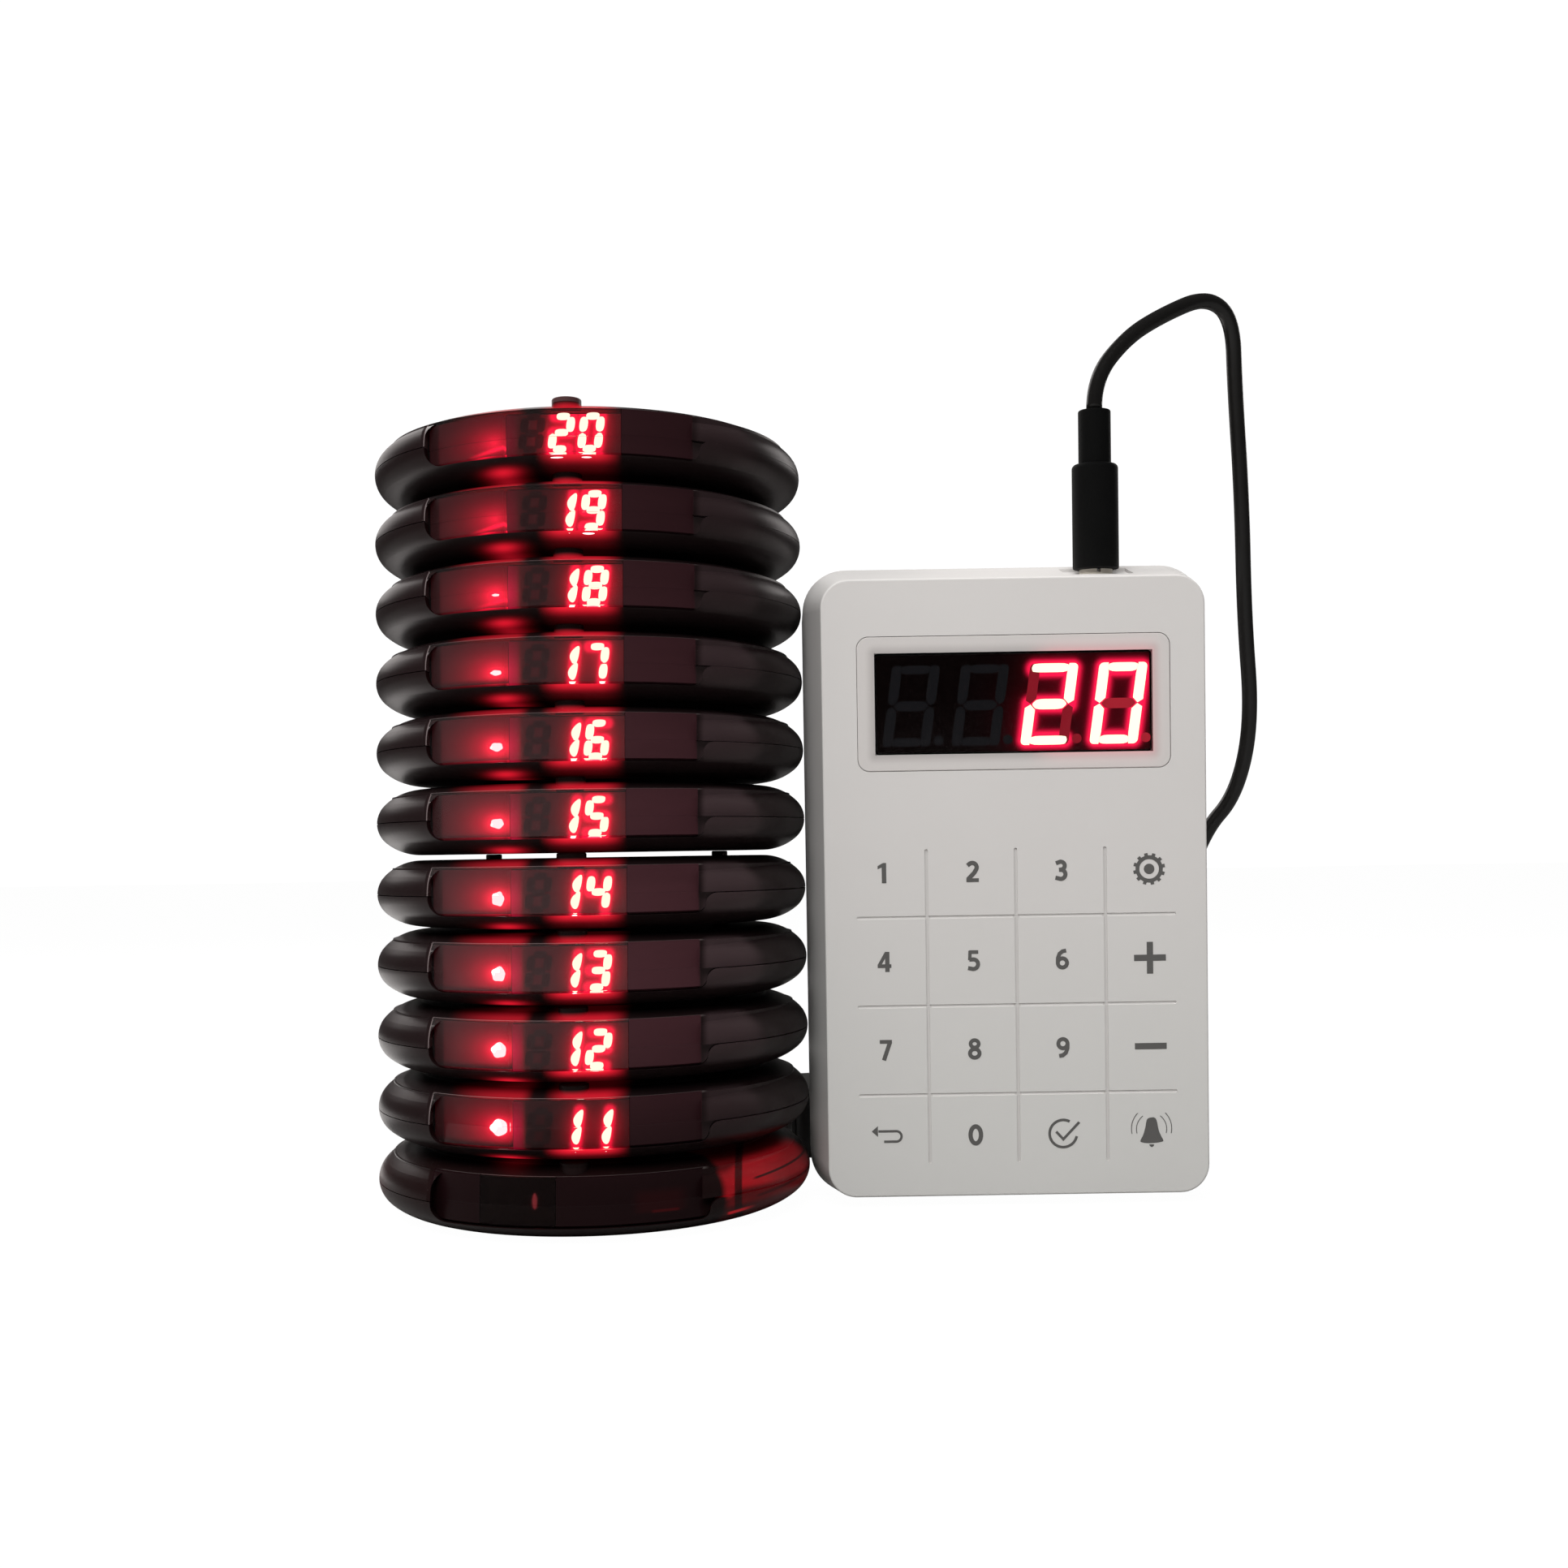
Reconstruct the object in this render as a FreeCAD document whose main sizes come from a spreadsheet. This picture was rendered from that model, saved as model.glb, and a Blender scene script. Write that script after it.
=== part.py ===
import FreeCAD, Part
import math
import os
import Sketcher

# Guest pager system for a shop counter: a charging base with ten round pagers stacked on it,
# and a standing call keypad with its plug-in power lead.
#
# Frame, in millimetres: +X to the right, +Y away from the person at the keypad, +Z up.
# Z = 0 is the counter. The origin is under the middle of the whole set, without its cord.

V = FreeCAD.Vector
DEG = math.pi / 180.0

os.makedirs("parts", exist_ok=True)
doc = FreeCAD.newDocument("guest_pager_system")
sheet = doc.addObject("Spreadsheet::Sheet", "dims")

# ---------------------------------------------------------------- driving dimensions
CELLS = [
    # stack of discs
    ("stack_x", -51.65, "axis of the charging base and the pagers"),
    ("disc_r", 55.0, "radius of every disc at its rim"),
    ("flat_r", 44.0, "radius of the flat top and bottom"),
    ("rim_r", 6.5, "small radius of the rim, at the parting line"),
    ("top_z", 8.4, "flat top above the parting plane"),
    ("bot_z", 8.1, "flat bottom below the parting plane"),
    ("base_mid", 8.7, "parting plane of the base above the counter"),
    ("pitch", 17.8, "height that each pager adds to the stack"),
    ("seam", 0.2, "gap of the parting line"),
    ("core_r", 52.0, "window face, radius at the parting plane"),
    ("core_low_r", 52.33, "window face, radius at its lower edge"),
    ("core_top_r", 51.2, "window face, radius at its upper edge"),
    ("win_top", 6.5, "upper edge of the window"),
    ("win_low", 4.7, "lower edge of the window, below the parting plane"),
    ("win_left", 34.4, "left end of the window"),
    ("win_right", 29.3, "right end of the window"),
    ("win_corner", 4.0, "corner radius at the left end"),
    ("fade", 3.0, "sideways shift of the surface that blends the window into the rim"),
    ("step_x0", 28.5, "step of the lower window edge, start"),
    ("step_x1", 33.5, "step of the lower window edge, end"),
    ("fit", 0.12, "clearance of the window tongue in the lower shell"),
    ("cav_r", 49.9, "inside radius of the upper cover"),
    ("cav_top", 6.6, "underside of the flat top"),
    ("tongue_r", 50.2, "inside radius of the window tongue"),
    ("low_cav_r", 50.1, "inside radius of the lower shell"),
    ("low_cav_z", 6.1, "inside floor of the lower shell, below the parting plane"),
    ("boss_top", 9.65, "top of the three spacers"),
    ("boss_y", 46.6, "front spacer, distance from the axis"),
    ("boss_r", 3.5, "front spacer radius"),
    ("pin_xy", 31.5, "contact pins, distance from the axis in X and in Y"),
    ("pin_boss_r", 2.2, "rear spacer radius"),
    ("pin_hole_r", 1.3, "hole in a rear spacer"),
    ("pin_r", 1.2, "contact pin radius"),
    ("contact_r", 2.5, "contact button radius, underneath"),
    ("contact_hole_r", 2.6, "hole for a contact button"),
    # inside a pager
    ("led_x", -0.5, "middle of the three-digit display"),
    ("led_w", 27.0, "display width"),
    ("led_front", 47.3, "display face, distance from the axis"),
    ("led_deep", 6.0, "display depth"),
    ("led_low", 5.4, "display lower edge, below the parting plane"),
    ("led_top", 6.0, "display upper edge"),
    ("led_digit", 8.8, "display digit height"),
    ("led_digit_w", 4.7, "display digit width"),
    ("led_pitch", 6.9, "display digit spacing"),
    ("led_digit_z", 0.3, "middle of a display digit"),
    ("board_r", 45.0, "circuit board radius"),
    ("board_z", -4.2, "underside of the circuit board"),
    ("board_t", 1.2, "circuit board thickness"),
    ("board_cut", 40.8, "straight front edge of the circuit board"),
    ("cell_w", 35.0, "rechargeable cell width"),
    ("cell_d", 30.0, "rechargeable cell depth"),
    ("cell_t", 5.0, "rechargeable cell thickness"),
    ("motor_r", 5.0, "vibration motor radius"),
    ("motor_t", 3.0, "vibration motor thickness"),
    ("lamp_x", -17.8, "indicator lamp position"),
    ("lamp_z", -0.6, "indicator lamp height"),
    ("lamp_r", 1.5, "indicator lamp radius"),
    ("lamp_y", -45.2, "indicator lamp front"),
    ("lamp_len", 4.3, "indicator lamp length"),
    # base
    ("foot_r", 4.0, "base foot radius"),
    ("foot_at", 36.0, "base feet, distance from the axis"),
    ("foot_t", 0.6, "base foot height"),
    ("inlet_z", -3.2, "base power inlet axis, below the parting plane"),
    ("inlet_nose_r", 2.7, "base power inlet nose radius"),
    ("inlet_bore_r", 1.8, "base power inlet bore radius"),
    ("inlet_pin_r", 0.6, "base power inlet pin radius"),
    # keypad
    ("key_x", 55.15, "middle of the keypad"),
    ("key_y", -17.0, "lower edge of the keypad face, in Y"),
    ("key_z", 2.795, "lower edge of the keypad face, in Z"),
    ("lean", 4.0, "lean of the face towards the user, degrees"),
    ("face_w", 94.6, "face width"),
    ("face_len", 153.2, "face length"),
    ("face_c", 7.0, "face corner radius"),
    ("shell_deep", 20.0, "depth of the front shell"),
    ("draft", 4.2, "how far its sides spread over that depth"),
    ("body_c", 11.0, "corner radius at the parting line"),
    ("wall", 2.0, "shell wall"),
    ("face_round", 0.5, "rounding of the face's edge"),
    ("back_y", 12.0, "back of the rear shell"),
    ("rear_h", 161.2, "height of the rear shell"),
    ("rear_round", 1.5, "rounding of the back edge"),
    ("lens_u", 38.7, "half width of the lens recess"),
    ("lens_v0", 105.8, "lower edge of the lens recess"),
    ("lens_v1", 139.15, "upper edge of the lens recess"),
    ("lens_c", 3.0, "corner radius of the lens recess"),
    ("lens_t", 1.5, "depth of the lens recess"),
    ("lens_gap", 0.1, "gap round the lens"),
    ("open_u", 34.3, "half width of the display opening"),
    ("open_v0", 109.9, "lower edge of the display opening"),
    ("open_v1", 135.0, "upper edge of the display opening"),
    ("groove_w", 0.8, "width of the lines between the keys"),
    ("groove_t", 0.3, "depth of the lines between the keys"),
    ("col_u", 22.1, "outer columns' lines"),
    ("row_v1", 25.4, "lowest row's line"),
    ("row_v2", 47.5, "middle row's line"),
    ("row_v3", 69.6, "upper row's line"),
    ("grid_v0", 8.2, "lower end of the upright lines"),
    ("grid_v1", 86.5, "upper end of the upright lines"),
    ("grid_u", 39.5, "half length of the level lines"),
    ("mod_u", 33.9, "half width of the four-digit display"),
    ("mod_v0", 110.3, "lower edge of the four-digit display"),
    ("mod_v1", 134.6, "upper edge of the four-digit display"),
    ("mod_t", 8.0, "depth of the four-digit display"),
    ("dig_h", 19.8, "digit height of the four-digit display"),
    ("dig_w", 11.6, "digit width of the four-digit display"),
    ("dig_pitch", 17.1, "digit spacing of the four-digit display"),
    ("dig_u0", -25.2, "first digit's middle"),
    ("dig_v", 121.9, "digit middle"),
    ("jack_u", 22.3, "power socket axis, across the face"),
    ("jack_n", -9.2, "power socket axis, behind the face"),
    ("jack_rec_w", 17.0, "width of the shallow recess round the socket"),
    ("jack_rec", 0.8, "depth of that recess"),
    ("jack_nose_r", 4.1, "socket nose radius"),
    ("jack_hole_r", 4.25, "hole for the socket nose"),
    ("jack_bore_r", 2.8, "socket bore radius"),
    ("jack_pin_r", 1.0, "socket pin radius"),
    ("jack_end", 155.5, "end of the socket nose, along the face"),
    ("pcb_u", 36.0, "keypad board half width"),
    ("pcb_v0", 4.0, "keypad board lower edge"),
    ("pcb_v1", 138.0, "keypad board upper edge"),
    ("pcb_n", -11.3, "keypad board back face"),
    ("pcb_t", 1.6, "keypad board thickness"),
    ("touch_r", 3.0, "touch spring radius"),
    ("screw_x", 41.0, "screws, across"),
    ("screw_z0", 12.0, "lower screws"),
    ("screw_z1", 149.0, "upper screws"),
    ("screw_r", 1.45, "screw shank radius"),
    ("screw_len", 16.0, "screw length under the head"),
    ("screw_head", 2.8, "screw head radius"),
    ("pad_r", 5.0, "keypad foot radius"),
    ("pad_t", 1.5, "keypad foot thickness"),
    # plug and cord
    ("plug_v0", 155.6, "plug, lower end along the face"),
    ("plug_v1", 181.9, "plug, shoulder"),
    ("plug_v2", 195.4, "plug, end of the strain relief"),
    ("plug_r", 5.75, "plug body radius"),
    ("relief_r", 4.05, "strain relief radius"),
    ("barrel_r", 2.75, "plug barrel radius"),
    ("barrel_bore", 1.1, "plug barrel bore radius"),
    ("barrel_len", 9.4, "plug barrel length"),
    ("cord_r", 2.0, "cord radius"),
    ("coil_x", 80.0, "middle of the wound-up length, X"),
    ("coil_y", 63.0, "middle of the wound-up length, Y"),
    ("coil_in", 14.0, "its inside radius"),
    ("coil_out", 26.0, "its outside radius"),
    ("coil_turn", 24.0, "radius of its outermost turn"),
    ("coil_t", 12.0, "its height"),
    ("cord_low", 2.2, "cord axis above the counter"),
    ("ad_turn", 12.0, "adapter turned on the counter, degrees"),
    ("ad_len", 44.0, "adapter length"),
    ("ad_w", 38.0, "adapter width"),
    ("ad_t", 20.0, "adapter thickness"),
    ("ad_nose", 18.0, "length of the adapter's strain relief"),
    ("coil_tail", 18.0, "cord between the wound-up length and the adapter"),
    ("blade_len", 17.0, "mains blade length"),
    ("blade_w", 6.3, "mains blade width"),
    ("blade_t", 1.5, "mains blade thickness"),
    ("blade_gap", 12.7, "mains blade spacing"),
]

D = {}
row = [1]


def put(alias, value, note):
    D[alias] = float(value)
    sheet.set("A%d" % row[0], note)
    sheet.set("B%d" % row[0], repr(float(value)))
    sheet.setAlias("B%d" % row[0], alias)
    row[0] += 1


for alias, value, note in CELLS:
    put(alias, value, note)


# A rim is two tangent arcs: the small one at the parting plane, the large one up to the flat.
def rim(b):
    a = D["disc_r"] - D["flat_r"]
    r2 = D["rim_r"]
    r1 = (a * a + b * b - 2 * a * r2) / (2 * b - 2 * r2)
    cz = b - r1                     # height of the large arc's centre
    dx, dz = a - r2, -cz            # from the large arc's centre to the small one's
    k = r2 / math.hypot(dx, dz)
    return r1, cz, D["disc_r"] - r2 + k * dx, k * dz


r1, cz, tx, tz = rim(D["top_z"])
put("up_r1", r1, "upper rim, large radius")
put("up_tx", tx, "upper rim, where its arcs meet, radius")
put("up_tz", tz, "upper rim, where its arcs meet, height")
put("up_win_x", D["flat_r"] + math.sqrt(r1 ** 2 - (D["win_top"] - cz) ** 2), "upper rim at the window's upper edge")
r1, cz, tx, tz = rim(D["bot_z"])
put("lo_r1", r1, "lower rim, large radius")
put("lo_tx", tx, "lower rim, where its arcs meet, radius")
put("lo_tz", tz, "lower rim, where its arcs meet, depth")
put("lo_sx", D["disc_r"] - D["rim_r"] + math.sqrt(D["rim_r"] ** 2 - D["seam"] ** 2), "lower rim at the seam")
put("step_r", ((D["step_x1"] - D["step_x0"]) ** 2 + (D["win_low"] - 0.1) ** 2) / (4 * (D["win_low"] - 0.1)),
    "radius of the two arcs of the window's step")
doc.recompute()


class Q:
    """A length: its value now, and the expression over the sheet that keeps it."""

    def __init__(self, value, text):
        self.value, self.text = float(value), text

    def __add__(self, o):
        o = quantity(o)
        return Q(self.value + o.value, "(%s + %s)" % (self.text, o.text))

    def __radd__(self, o):
        return quantity(o) + self

    def __sub__(self, o):
        o = quantity(o)
        return Q(self.value - o.value, "(%s - %s)" % (self.text, o.text))

    def __rsub__(self, o):
        return quantity(o) - self

    def __mul__(self, o):
        o = quantity(o)
        return Q(self.value * o.value, "(%s * %s)" % (self.text, o.text))

    def __rmul__(self, o):
        return quantity(o) * self

    def __truediv__(self, o):
        o = quantity(o)
        return Q(self.value / o.value, "(%s / %s)" % (self.text, o.text))

    def __neg__(self):
        return Q(-self.value, "(0 - %s)" % self.text)


def quantity(x):
    return x if isinstance(x, Q) else Q(x, repr(float(x)))


def d(alias):
    return Q(D[alias], "dims." + alias)


def bound(x):
    return "dims." in x.text


# ---------------------------------------------------------------- sketches and features
def body(name):
    b = doc.addObject("PartDesign::Body", name)
    b.Label = name
    return b


def sketch(b, role, offset=0.0):
    sk = b.newObject("Sketcher::SketchObject", "profile")
    plane = [f for f in b.Origin.OriginFeatures if f.Role == role][0]
    sk.AttachmentSupport = (plane, [""])
    sk.MapMode = "FlatFace"
    off = quantity(offset)
    if off.value or bound(off):
        sk.AttachmentOffset = FreeCAD.Placement(V(0, 0, off.value), FreeCAD.Rotation())
        if bound(off):
            sk.setExpression("AttachmentOffset.Base.z", off.text)
    return sk


def hold_point(sk, geo, pos, x, y, out):
    x, y = quantity(x), quantity(y)
    for kind, axis, val in (("DistanceX", -2, x), ("DistanceY", -1, y)):
        if abs(val.value) < 1e-9:
            out.append((Sketcher.Constraint("PointOnObject", geo, pos, axis), None))
        else:
            out.append((Sketcher.Constraint(kind, -1, 1, geo, pos, val.value), val))


def lay_down(sk, todo):
    first = sk.ConstraintCount
    sk.addConstraint([c for c, _ in todo])
    for i, (_, val) in enumerate(todo):
        if val is not None and bound(val):
            sk.setExpression("Constraints[%d]" % (first + i), val.text)


def loop(sk, pts, arcs=None):
    """A closed outline. arcs[i] = (radius, side) makes the edge from point i an arc, its centre to the left (+1) or right (-1)."""
    arcs = arcs or {}
    pts = [(quantity(x), quantity(y)) for x, y in pts]
    n, first = len(pts), sk.GeometryCount
    geos, ends, todo = [], [], []
    for i in range(n):
        a = V(pts[i][0].value, pts[i][1].value, 0)
        c = V(pts[(i + 1) % n][0].value, pts[(i + 1) % n][1].value, 0)
        if i in arcs:
            r, side = quantity(arcs[i][0]), arcs[i][1]
            m = (a + c) * 0.5
            h = (c - a).Length / 2.0
            left = V(-(c - a).y, (c - a).x, 0).normalize()
            o = m + left * (side * math.sqrt(max(r.value ** 2 - h * h, 0.0)))
            s, e = (a, c) if side > 0 else (c, a)
            t0 = math.atan2(s.y - o.y, s.x - o.x)
            t1 = math.atan2(e.y - o.y, e.x - o.x)
            if t1 < t0:
                t1 += 2 * math.pi
            geos.append(Part.ArcOfCircle(Part.Circle(o, V(0, 0, 1), r.value), t0, t1))
            ends.append((1, 2) if side > 0 else (2, 1))
            todo.append((Sketcher.Constraint("Radius", first + i, r.value), r))
        else:
            geos.append(Part.LineSegment(a, c))
            ends.append((1, 2))
    sk.addGeometry(geos, False)
    for i in range(n):
        j = (i + 1) % n
        todo.append((Sketcher.Constraint("Coincident", first + i, ends[i][1], first + j, ends[j][0]), None))
        hold_point(sk, first + i, ends[i][0], pts[i][0], pts[i][1], todo)
    lay_down(sk, todo)
    return sk


def rounded(sk, x0, x1, y0, y1, r):
    x0, x1, y0, y1, r = [quantity(k) for k in (x0, x1, y0, y1, r)]
    return loop(sk, [(x0 + r, y0), (x1 - r, y0), (x1, y0 + r), (x1, y1 - r), (x1 - r, y1), (x0 + r, y1), (x0, y1 - r), (x0, y0 + r)],
                {1: (r, 1), 3: (r, 1), 5: (r, 1), 7: (r, 1)})


def rect(sk, x0, x1, y0, y1):
    return loop(sk, [(x0, y0), (x1, y0), (x1, y1), (x0, y1)])


def circle(sk, x, y, r):
    x, y, r = quantity(x), quantity(y), quantity(r)
    g = sk.GeometryCount
    sk.addGeometry(Part.Circle(V(x.value, y.value, 0), V(0, 0, 1), r.value), False)
    todo = [(Sketcher.Constraint("Radius", g, r.value), r)]
    hold_point(sk, g, 3, x, y, todo)
    lay_down(sk, todo)
    return sk


def volume(b):
    doc.recompute()
    return 0.0 if b.Tip is None or b.Shape.isNull() else b.Shape.Volume


def grown(b, before, name, add):
    now = volume(b)
    if (now > before + 1e-4) != add or abs(now - before) < 1e-4:
        raise RuntimeError("%s: %s changed its volume from %.3f to %.3f" % (b.Label, name, before, now))


def feature(b, kind, name, sk, add, **props):
    before = volume(b)
    f = b.newObject("PartDesign::" + kind, name)
    if sk is not None:
        f.Profile = sk
        sk.Visibility = False
    for key, val in props.items():
        if isinstance(val, Q):
            setattr(f, key, val.value)
            if bound(val):
                f.setExpression(key, val.text)
        else:
            setattr(f, key, val)
    grown(b, before, name, add)
    return f


def pad(b, sk, length, name="pad", **kw):
    return feature(b, "Pad", name, sk, True, Length=quantity(length), **kw)


def pocket(b, sk, length=None, name="pocket", **kw):
    if length is None:
        return feature(b, "Pocket", name, sk, False, Type=1, **kw)
    return feature(b, "Pocket", name, sk, False, Length=quantity(length), **kw)


def turn(b, sk, name="turned", axis="V_Axis"):
    return feature(b, "Revolution", name, sk, True, ReferenceAxis=(sk, [axis]), Angle=360.0)


def groove(b, sk, name="hollow", axis="V_Axis"):
    return feature(b, "Groove", name, sk, False, ReferenceAxis=(sk, [axis]), Angle=360.0)


def solid_tool(b, kind, name, add, placement, **props):
    before = volume(b)
    f = b.newObject("PartDesign::" + kind, name)
    for key, val in props.items():
        val = quantity(val)
        setattr(f, key, val.value)
        if bound(val):
            f.setExpression(key, val.text)
    f.Placement = placement
    grown(b, before, name, add)
    return f


def fillet(b, radius, chosen, name="rounding"):
    doc.recompute()
    names = ["Edge%d" % (i + 1) for i, e in enumerate(b.Tip.Shape.Edges) if chosen(e)]
    if not names:
        raise RuntimeError("%s: no edge found for %s" % (b.Label, name))
    before, last = volume(b), b.Tip
    f = b.newObject("PartDesign::Fillet", name)
    f.Base = (last, names)
    f.Radius = quantity(radius).value
    if bound(quantity(radius)):
        f.setExpression("Radius", quantity(radius).text)
    doc.recompute()
    if abs(b.Shape.Volume - before) < 1e-4 or not b.Shape.isValid():
        raise RuntimeError("%s: %s changed nothing" % (b.Label, name))
    return f


def put_at(obj, base, rot=None):
    base = [quantity(k) for k in base]
    obj.Placement = FreeCAD.Placement(V(*[k.value for k in base]), rot or FreeCAD.Rotation())
    for key, k in zip("xyz", base):
        if bound(k):
            obj.setExpression("Placement.Base." + key, k.text)
    return obj


NODES = []


def node(obj, name):
    obj.Label = name
    NODES.append(obj)
    return obj


def copy_of(master, name):
    """The same piece again: a body whose base feature is the master body."""
    c = doc.addObject("PartDesign::Body", name)
    c.Label = name
    c.BaseFeature = master
    return c


def prim(kind, name, base=(0, 0, 0), rot=None, **props):
    o = doc.addObject("Part::" + kind, name)
    for key, val in props.items():
        val = quantity(val)
        setattr(o, key, val.value)
        if bound(val):
            o.setExpression(key, val.text)
    return put_at(o, base, rot)


def boolean(kind, name, base, tool):
    o = doc.addObject("Part::" + kind, name)
    o.Base, o.Tool = base, tool
    return o


def group(name, links):
    o = doc.addObject("Part::Compound", name)
    o.Links = links
    return o


# ---------------------------------------------------------------- the round discs
def disc_cover(name):
    b = body(name)
    # rim: a solid of revolution from the parting plane to the flat top
    sk = sketch(b, "XZ_Plane")
    loop(sk, [(0, 0), (d("disc_r"), 0), (d("up_tx"), d("up_tz")), (d("flat_r"), d("top_z")), (0, d("top_z"))],
         {1: (d("rim_r"), 1), 2: (d("up_r1"), 1)})
    turn(b, sk, "rim")
    # the front of the rim is cut back from the window's left end to the right side
    sk = sketch(b, "XZ_Plane")
    loop(sk, [(-d("win_left"), -1), (d("disc_r") + 2, -1), (d("disc_r") + 2, d("win_top")),
              (d("win_corner") - d("win_left"), d("win_top")), (-d("win_left"), d("win_top") - d("win_corner"))],
         {3: (d("win_corner"), 1)})
    pocket(b, sk, name="front_cut", Reversed=True)
    # right of the window the surface runs out into the rim
    sk = sketch(b, "XZ_Plane")
    a = d("fade")
    sk.addGeometry(Part.LineSegment(V(D["fade"], 0, 0), V(D["fade"], D["win_top"], 0)), True)
    todo = []
    hold_point(sk, 0, 1, a, 0, todo)
    hold_point(sk, 0, 2, a, d("win_top"), todo)
    lay_down(sk, todo)
    loop(sk, [(a, 0), (d("disc_r"), 0), (d("up_tx"), d("up_tz")), (d("up_win_x"), d("win_top")), (a, d("win_top"))],
         {1: (d("rim_r"), 1), 2: (d("up_r1"), 1)})
    # its radii are those of the rim less the shift, about an axis shifted to the right
    turn(b, sk, "run_out", axis="Axis0")
    sk = sketch(b, "XZ_Plane")
    loop(sk, [(-d("win_left"), -1), (d("win_right"), -1), (d("win_right"), d("win_top")),
              (d("win_corner") - d("win_left"), d("win_top")), (-d("win_left"), d("win_top") - d("win_corner"))],
         {3: (d("win_corner"), 1)})
    pocket(b, sk, name="window_cut", Reversed=True)
    # the window's own face, a slightly conical band
    sk = sketch(b, "XZ_Plane")
    loop(sk, [(0, 0), (d("core_r"), 0), (d("core_top_r"), d("win_top")), (0, d("win_top"))])
    turn(b, sk, "window_face")
    # it continues below the parting plane as a tongue, only across the window
    sk = sketch(b, "XZ_Plane")
    loop(sk, [(d("tongue_r"), -d("win_low")), (d("core_low_r") - 0.5, -d("win_low")), (d("core_low_r"), 0.5 - d("win_low")),
              (d("core_r"), 0), (d("core_r"), 0.3), (d("tongue_r"), 0.3)])
    turn(b, sk, "tongue")
    sk = sketch(b, "XZ_Plane")
    loop(sk, [(-60, 0), (-60, -6), (d("win_corner") - d("win_left"), -6), (d("win_corner") - d("win_left"), -d("win_low")),
              (-d("win_left"), d("win_corner") - d("win_low")), (-d("win_left"), 0)],
         {3: (d("win_corner"), -1)})
    pocket(b, sk, name="tongue_left", Reversed=True)
    sk = sketch(b, "XZ_Plane")
    mid_x = (d("step_x0") + d("step_x1")) / 2
    mid_z = (-d("win_low") - 0.1) / 2
    loop(sk, [(d("step_x0"), -6), (60, -6), (60, 0), (d("step_x1"), 0), (d("step_x1"), -0.1), (mid_x, mid_z), (d("step_x0"), -d("win_low"))],
         {4: (d("step_r"), 1), 5: (d("step_r"), -1)})
    pocket(b, sk, name="tongue_right", Reversed=True)
    sk = sketch(b, "XZ_Plane")
    rect(sk, -60, 60, -6, 0)
    pocket(b, sk, name="tongue_back", Reversed=False)
    # hollow
    sk = sketch(b, "XZ_Plane")
    loop(sk, [(0, -1), (d("cav_r"), -1), (d("cav_r") - 0.4, d("cav_top") - 0.5), (d("cav_r") - 1.4, d("cav_top")), (0, d("cav_top"))])
    groove(b, sk)
    # three spacers on top, the rear two bored for the contact pins
    sk = sketch(b, "XY_Plane", d("cav_top") + 0.3)
    circle(sk, 0, -d("boss_y"), d("boss_r"))
    circle(sk, d("pin_xy"), d("pin_xy"), d("pin_boss_r"))
    circle(sk, -d("pin_xy"), d("pin_xy"), d("pin_boss_r"))
    pad(b, sk, d("boss_top") - d("cav_top") - 0.3, "spacers")
    fillet(b, 0.35, lambda e: abs(e.BoundBox.ZMin - D["boss_top"]) < 1e-5 and abs(e.BoundBox.ZMax - D["boss_top"]) < 1e-5, "spacer_edges")
    sk = sketch(b, "XY_Plane", d("boss_top") + 1)
    circle(sk, d("pin_xy"), d("pin_xy"), d("pin_hole_r"))
    circle(sk, -d("pin_xy"), d("pin_xy"), d("pin_hole_r"))
    pocket(b, sk, 6, "pin_holes")
    return b


def disc_shell(name):
    b = body(name)
    sk = sketch(b, "XZ_Plane")
    loop(sk, [(0, -d("seam")), (0, -d("bot_z")), (d("flat_r"), -d("bot_z")), (d("lo_tx"), -d("lo_tz")), (d("lo_sx"), -d("seam"))],
         {2: (d("lo_r1"), 1), 3: (d("rim_r"), 1)})
    turn(b, sk, "rim")
    sk = sketch(b, "XZ_Plane")
    loop(sk, [(0, 1), (0, -d("low_cav_z")), (d("low_cav_r") - 0.7, -d("low_cav_z")), (d("low_cav_r"), 1.35 - d("low_cav_z")), (d("low_cav_r"), 1)])
    groove(b, sk)
    # the opening that the window's tongue fills
    sk = sketch(b, "XZ_Plane")
    f = d("fit")
    low = -d("win_low") - f
    mid_x = (d("step_x0") + d("step_x1")) / 2 + f
    mid_z = (-d("win_low") - 0.1) / 2 - f
    loop(sk, [(-d("win_left") - f, 2), (-d("win_left") - f, low + d("win_corner")), (d("win_corner") - d("win_left") - f, low),
              (d("step_x0") + f, low), (mid_x, mid_z), (d("step_x1") + f, -0.1 - f), (d("step_x1") + f, 2)],
         {1: (d("win_corner"), 1), 3: (d("step_r"), 1), 4: (d("step_r"), -1)})
    pocket(b, sk, name="window_opening", Reversed=True)
    return b


cover = disc_cover("pager_20_top_cover")
shell_blank = disc_shell("disc_shell_blank")

shell = copy_of(shell_blank, "pager_20_bottom_shell")
sk = sketch(shell, "XY_Plane", -5)
circle(sk, d("pin_xy"), d("pin_xy"), d("contact_hole_r"))
circle(sk, -d("pin_xy"), d("pin_xy"), d("contact_hole_r"))
pocket(shell, sk, 4, "contact_holes")

# ---- three-digit display module, its segments sunk into the face
SEG = [((-1, 1), (1, 1)), ((1, 1), (1, 0)), ((1, 0), (1, -1)), ((-1, -1), (1, -1)), ((-1, 0), (-1, -1)), ((-1, 1), (-1, 0)), ((-1, 0), (1, 0))]


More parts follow.
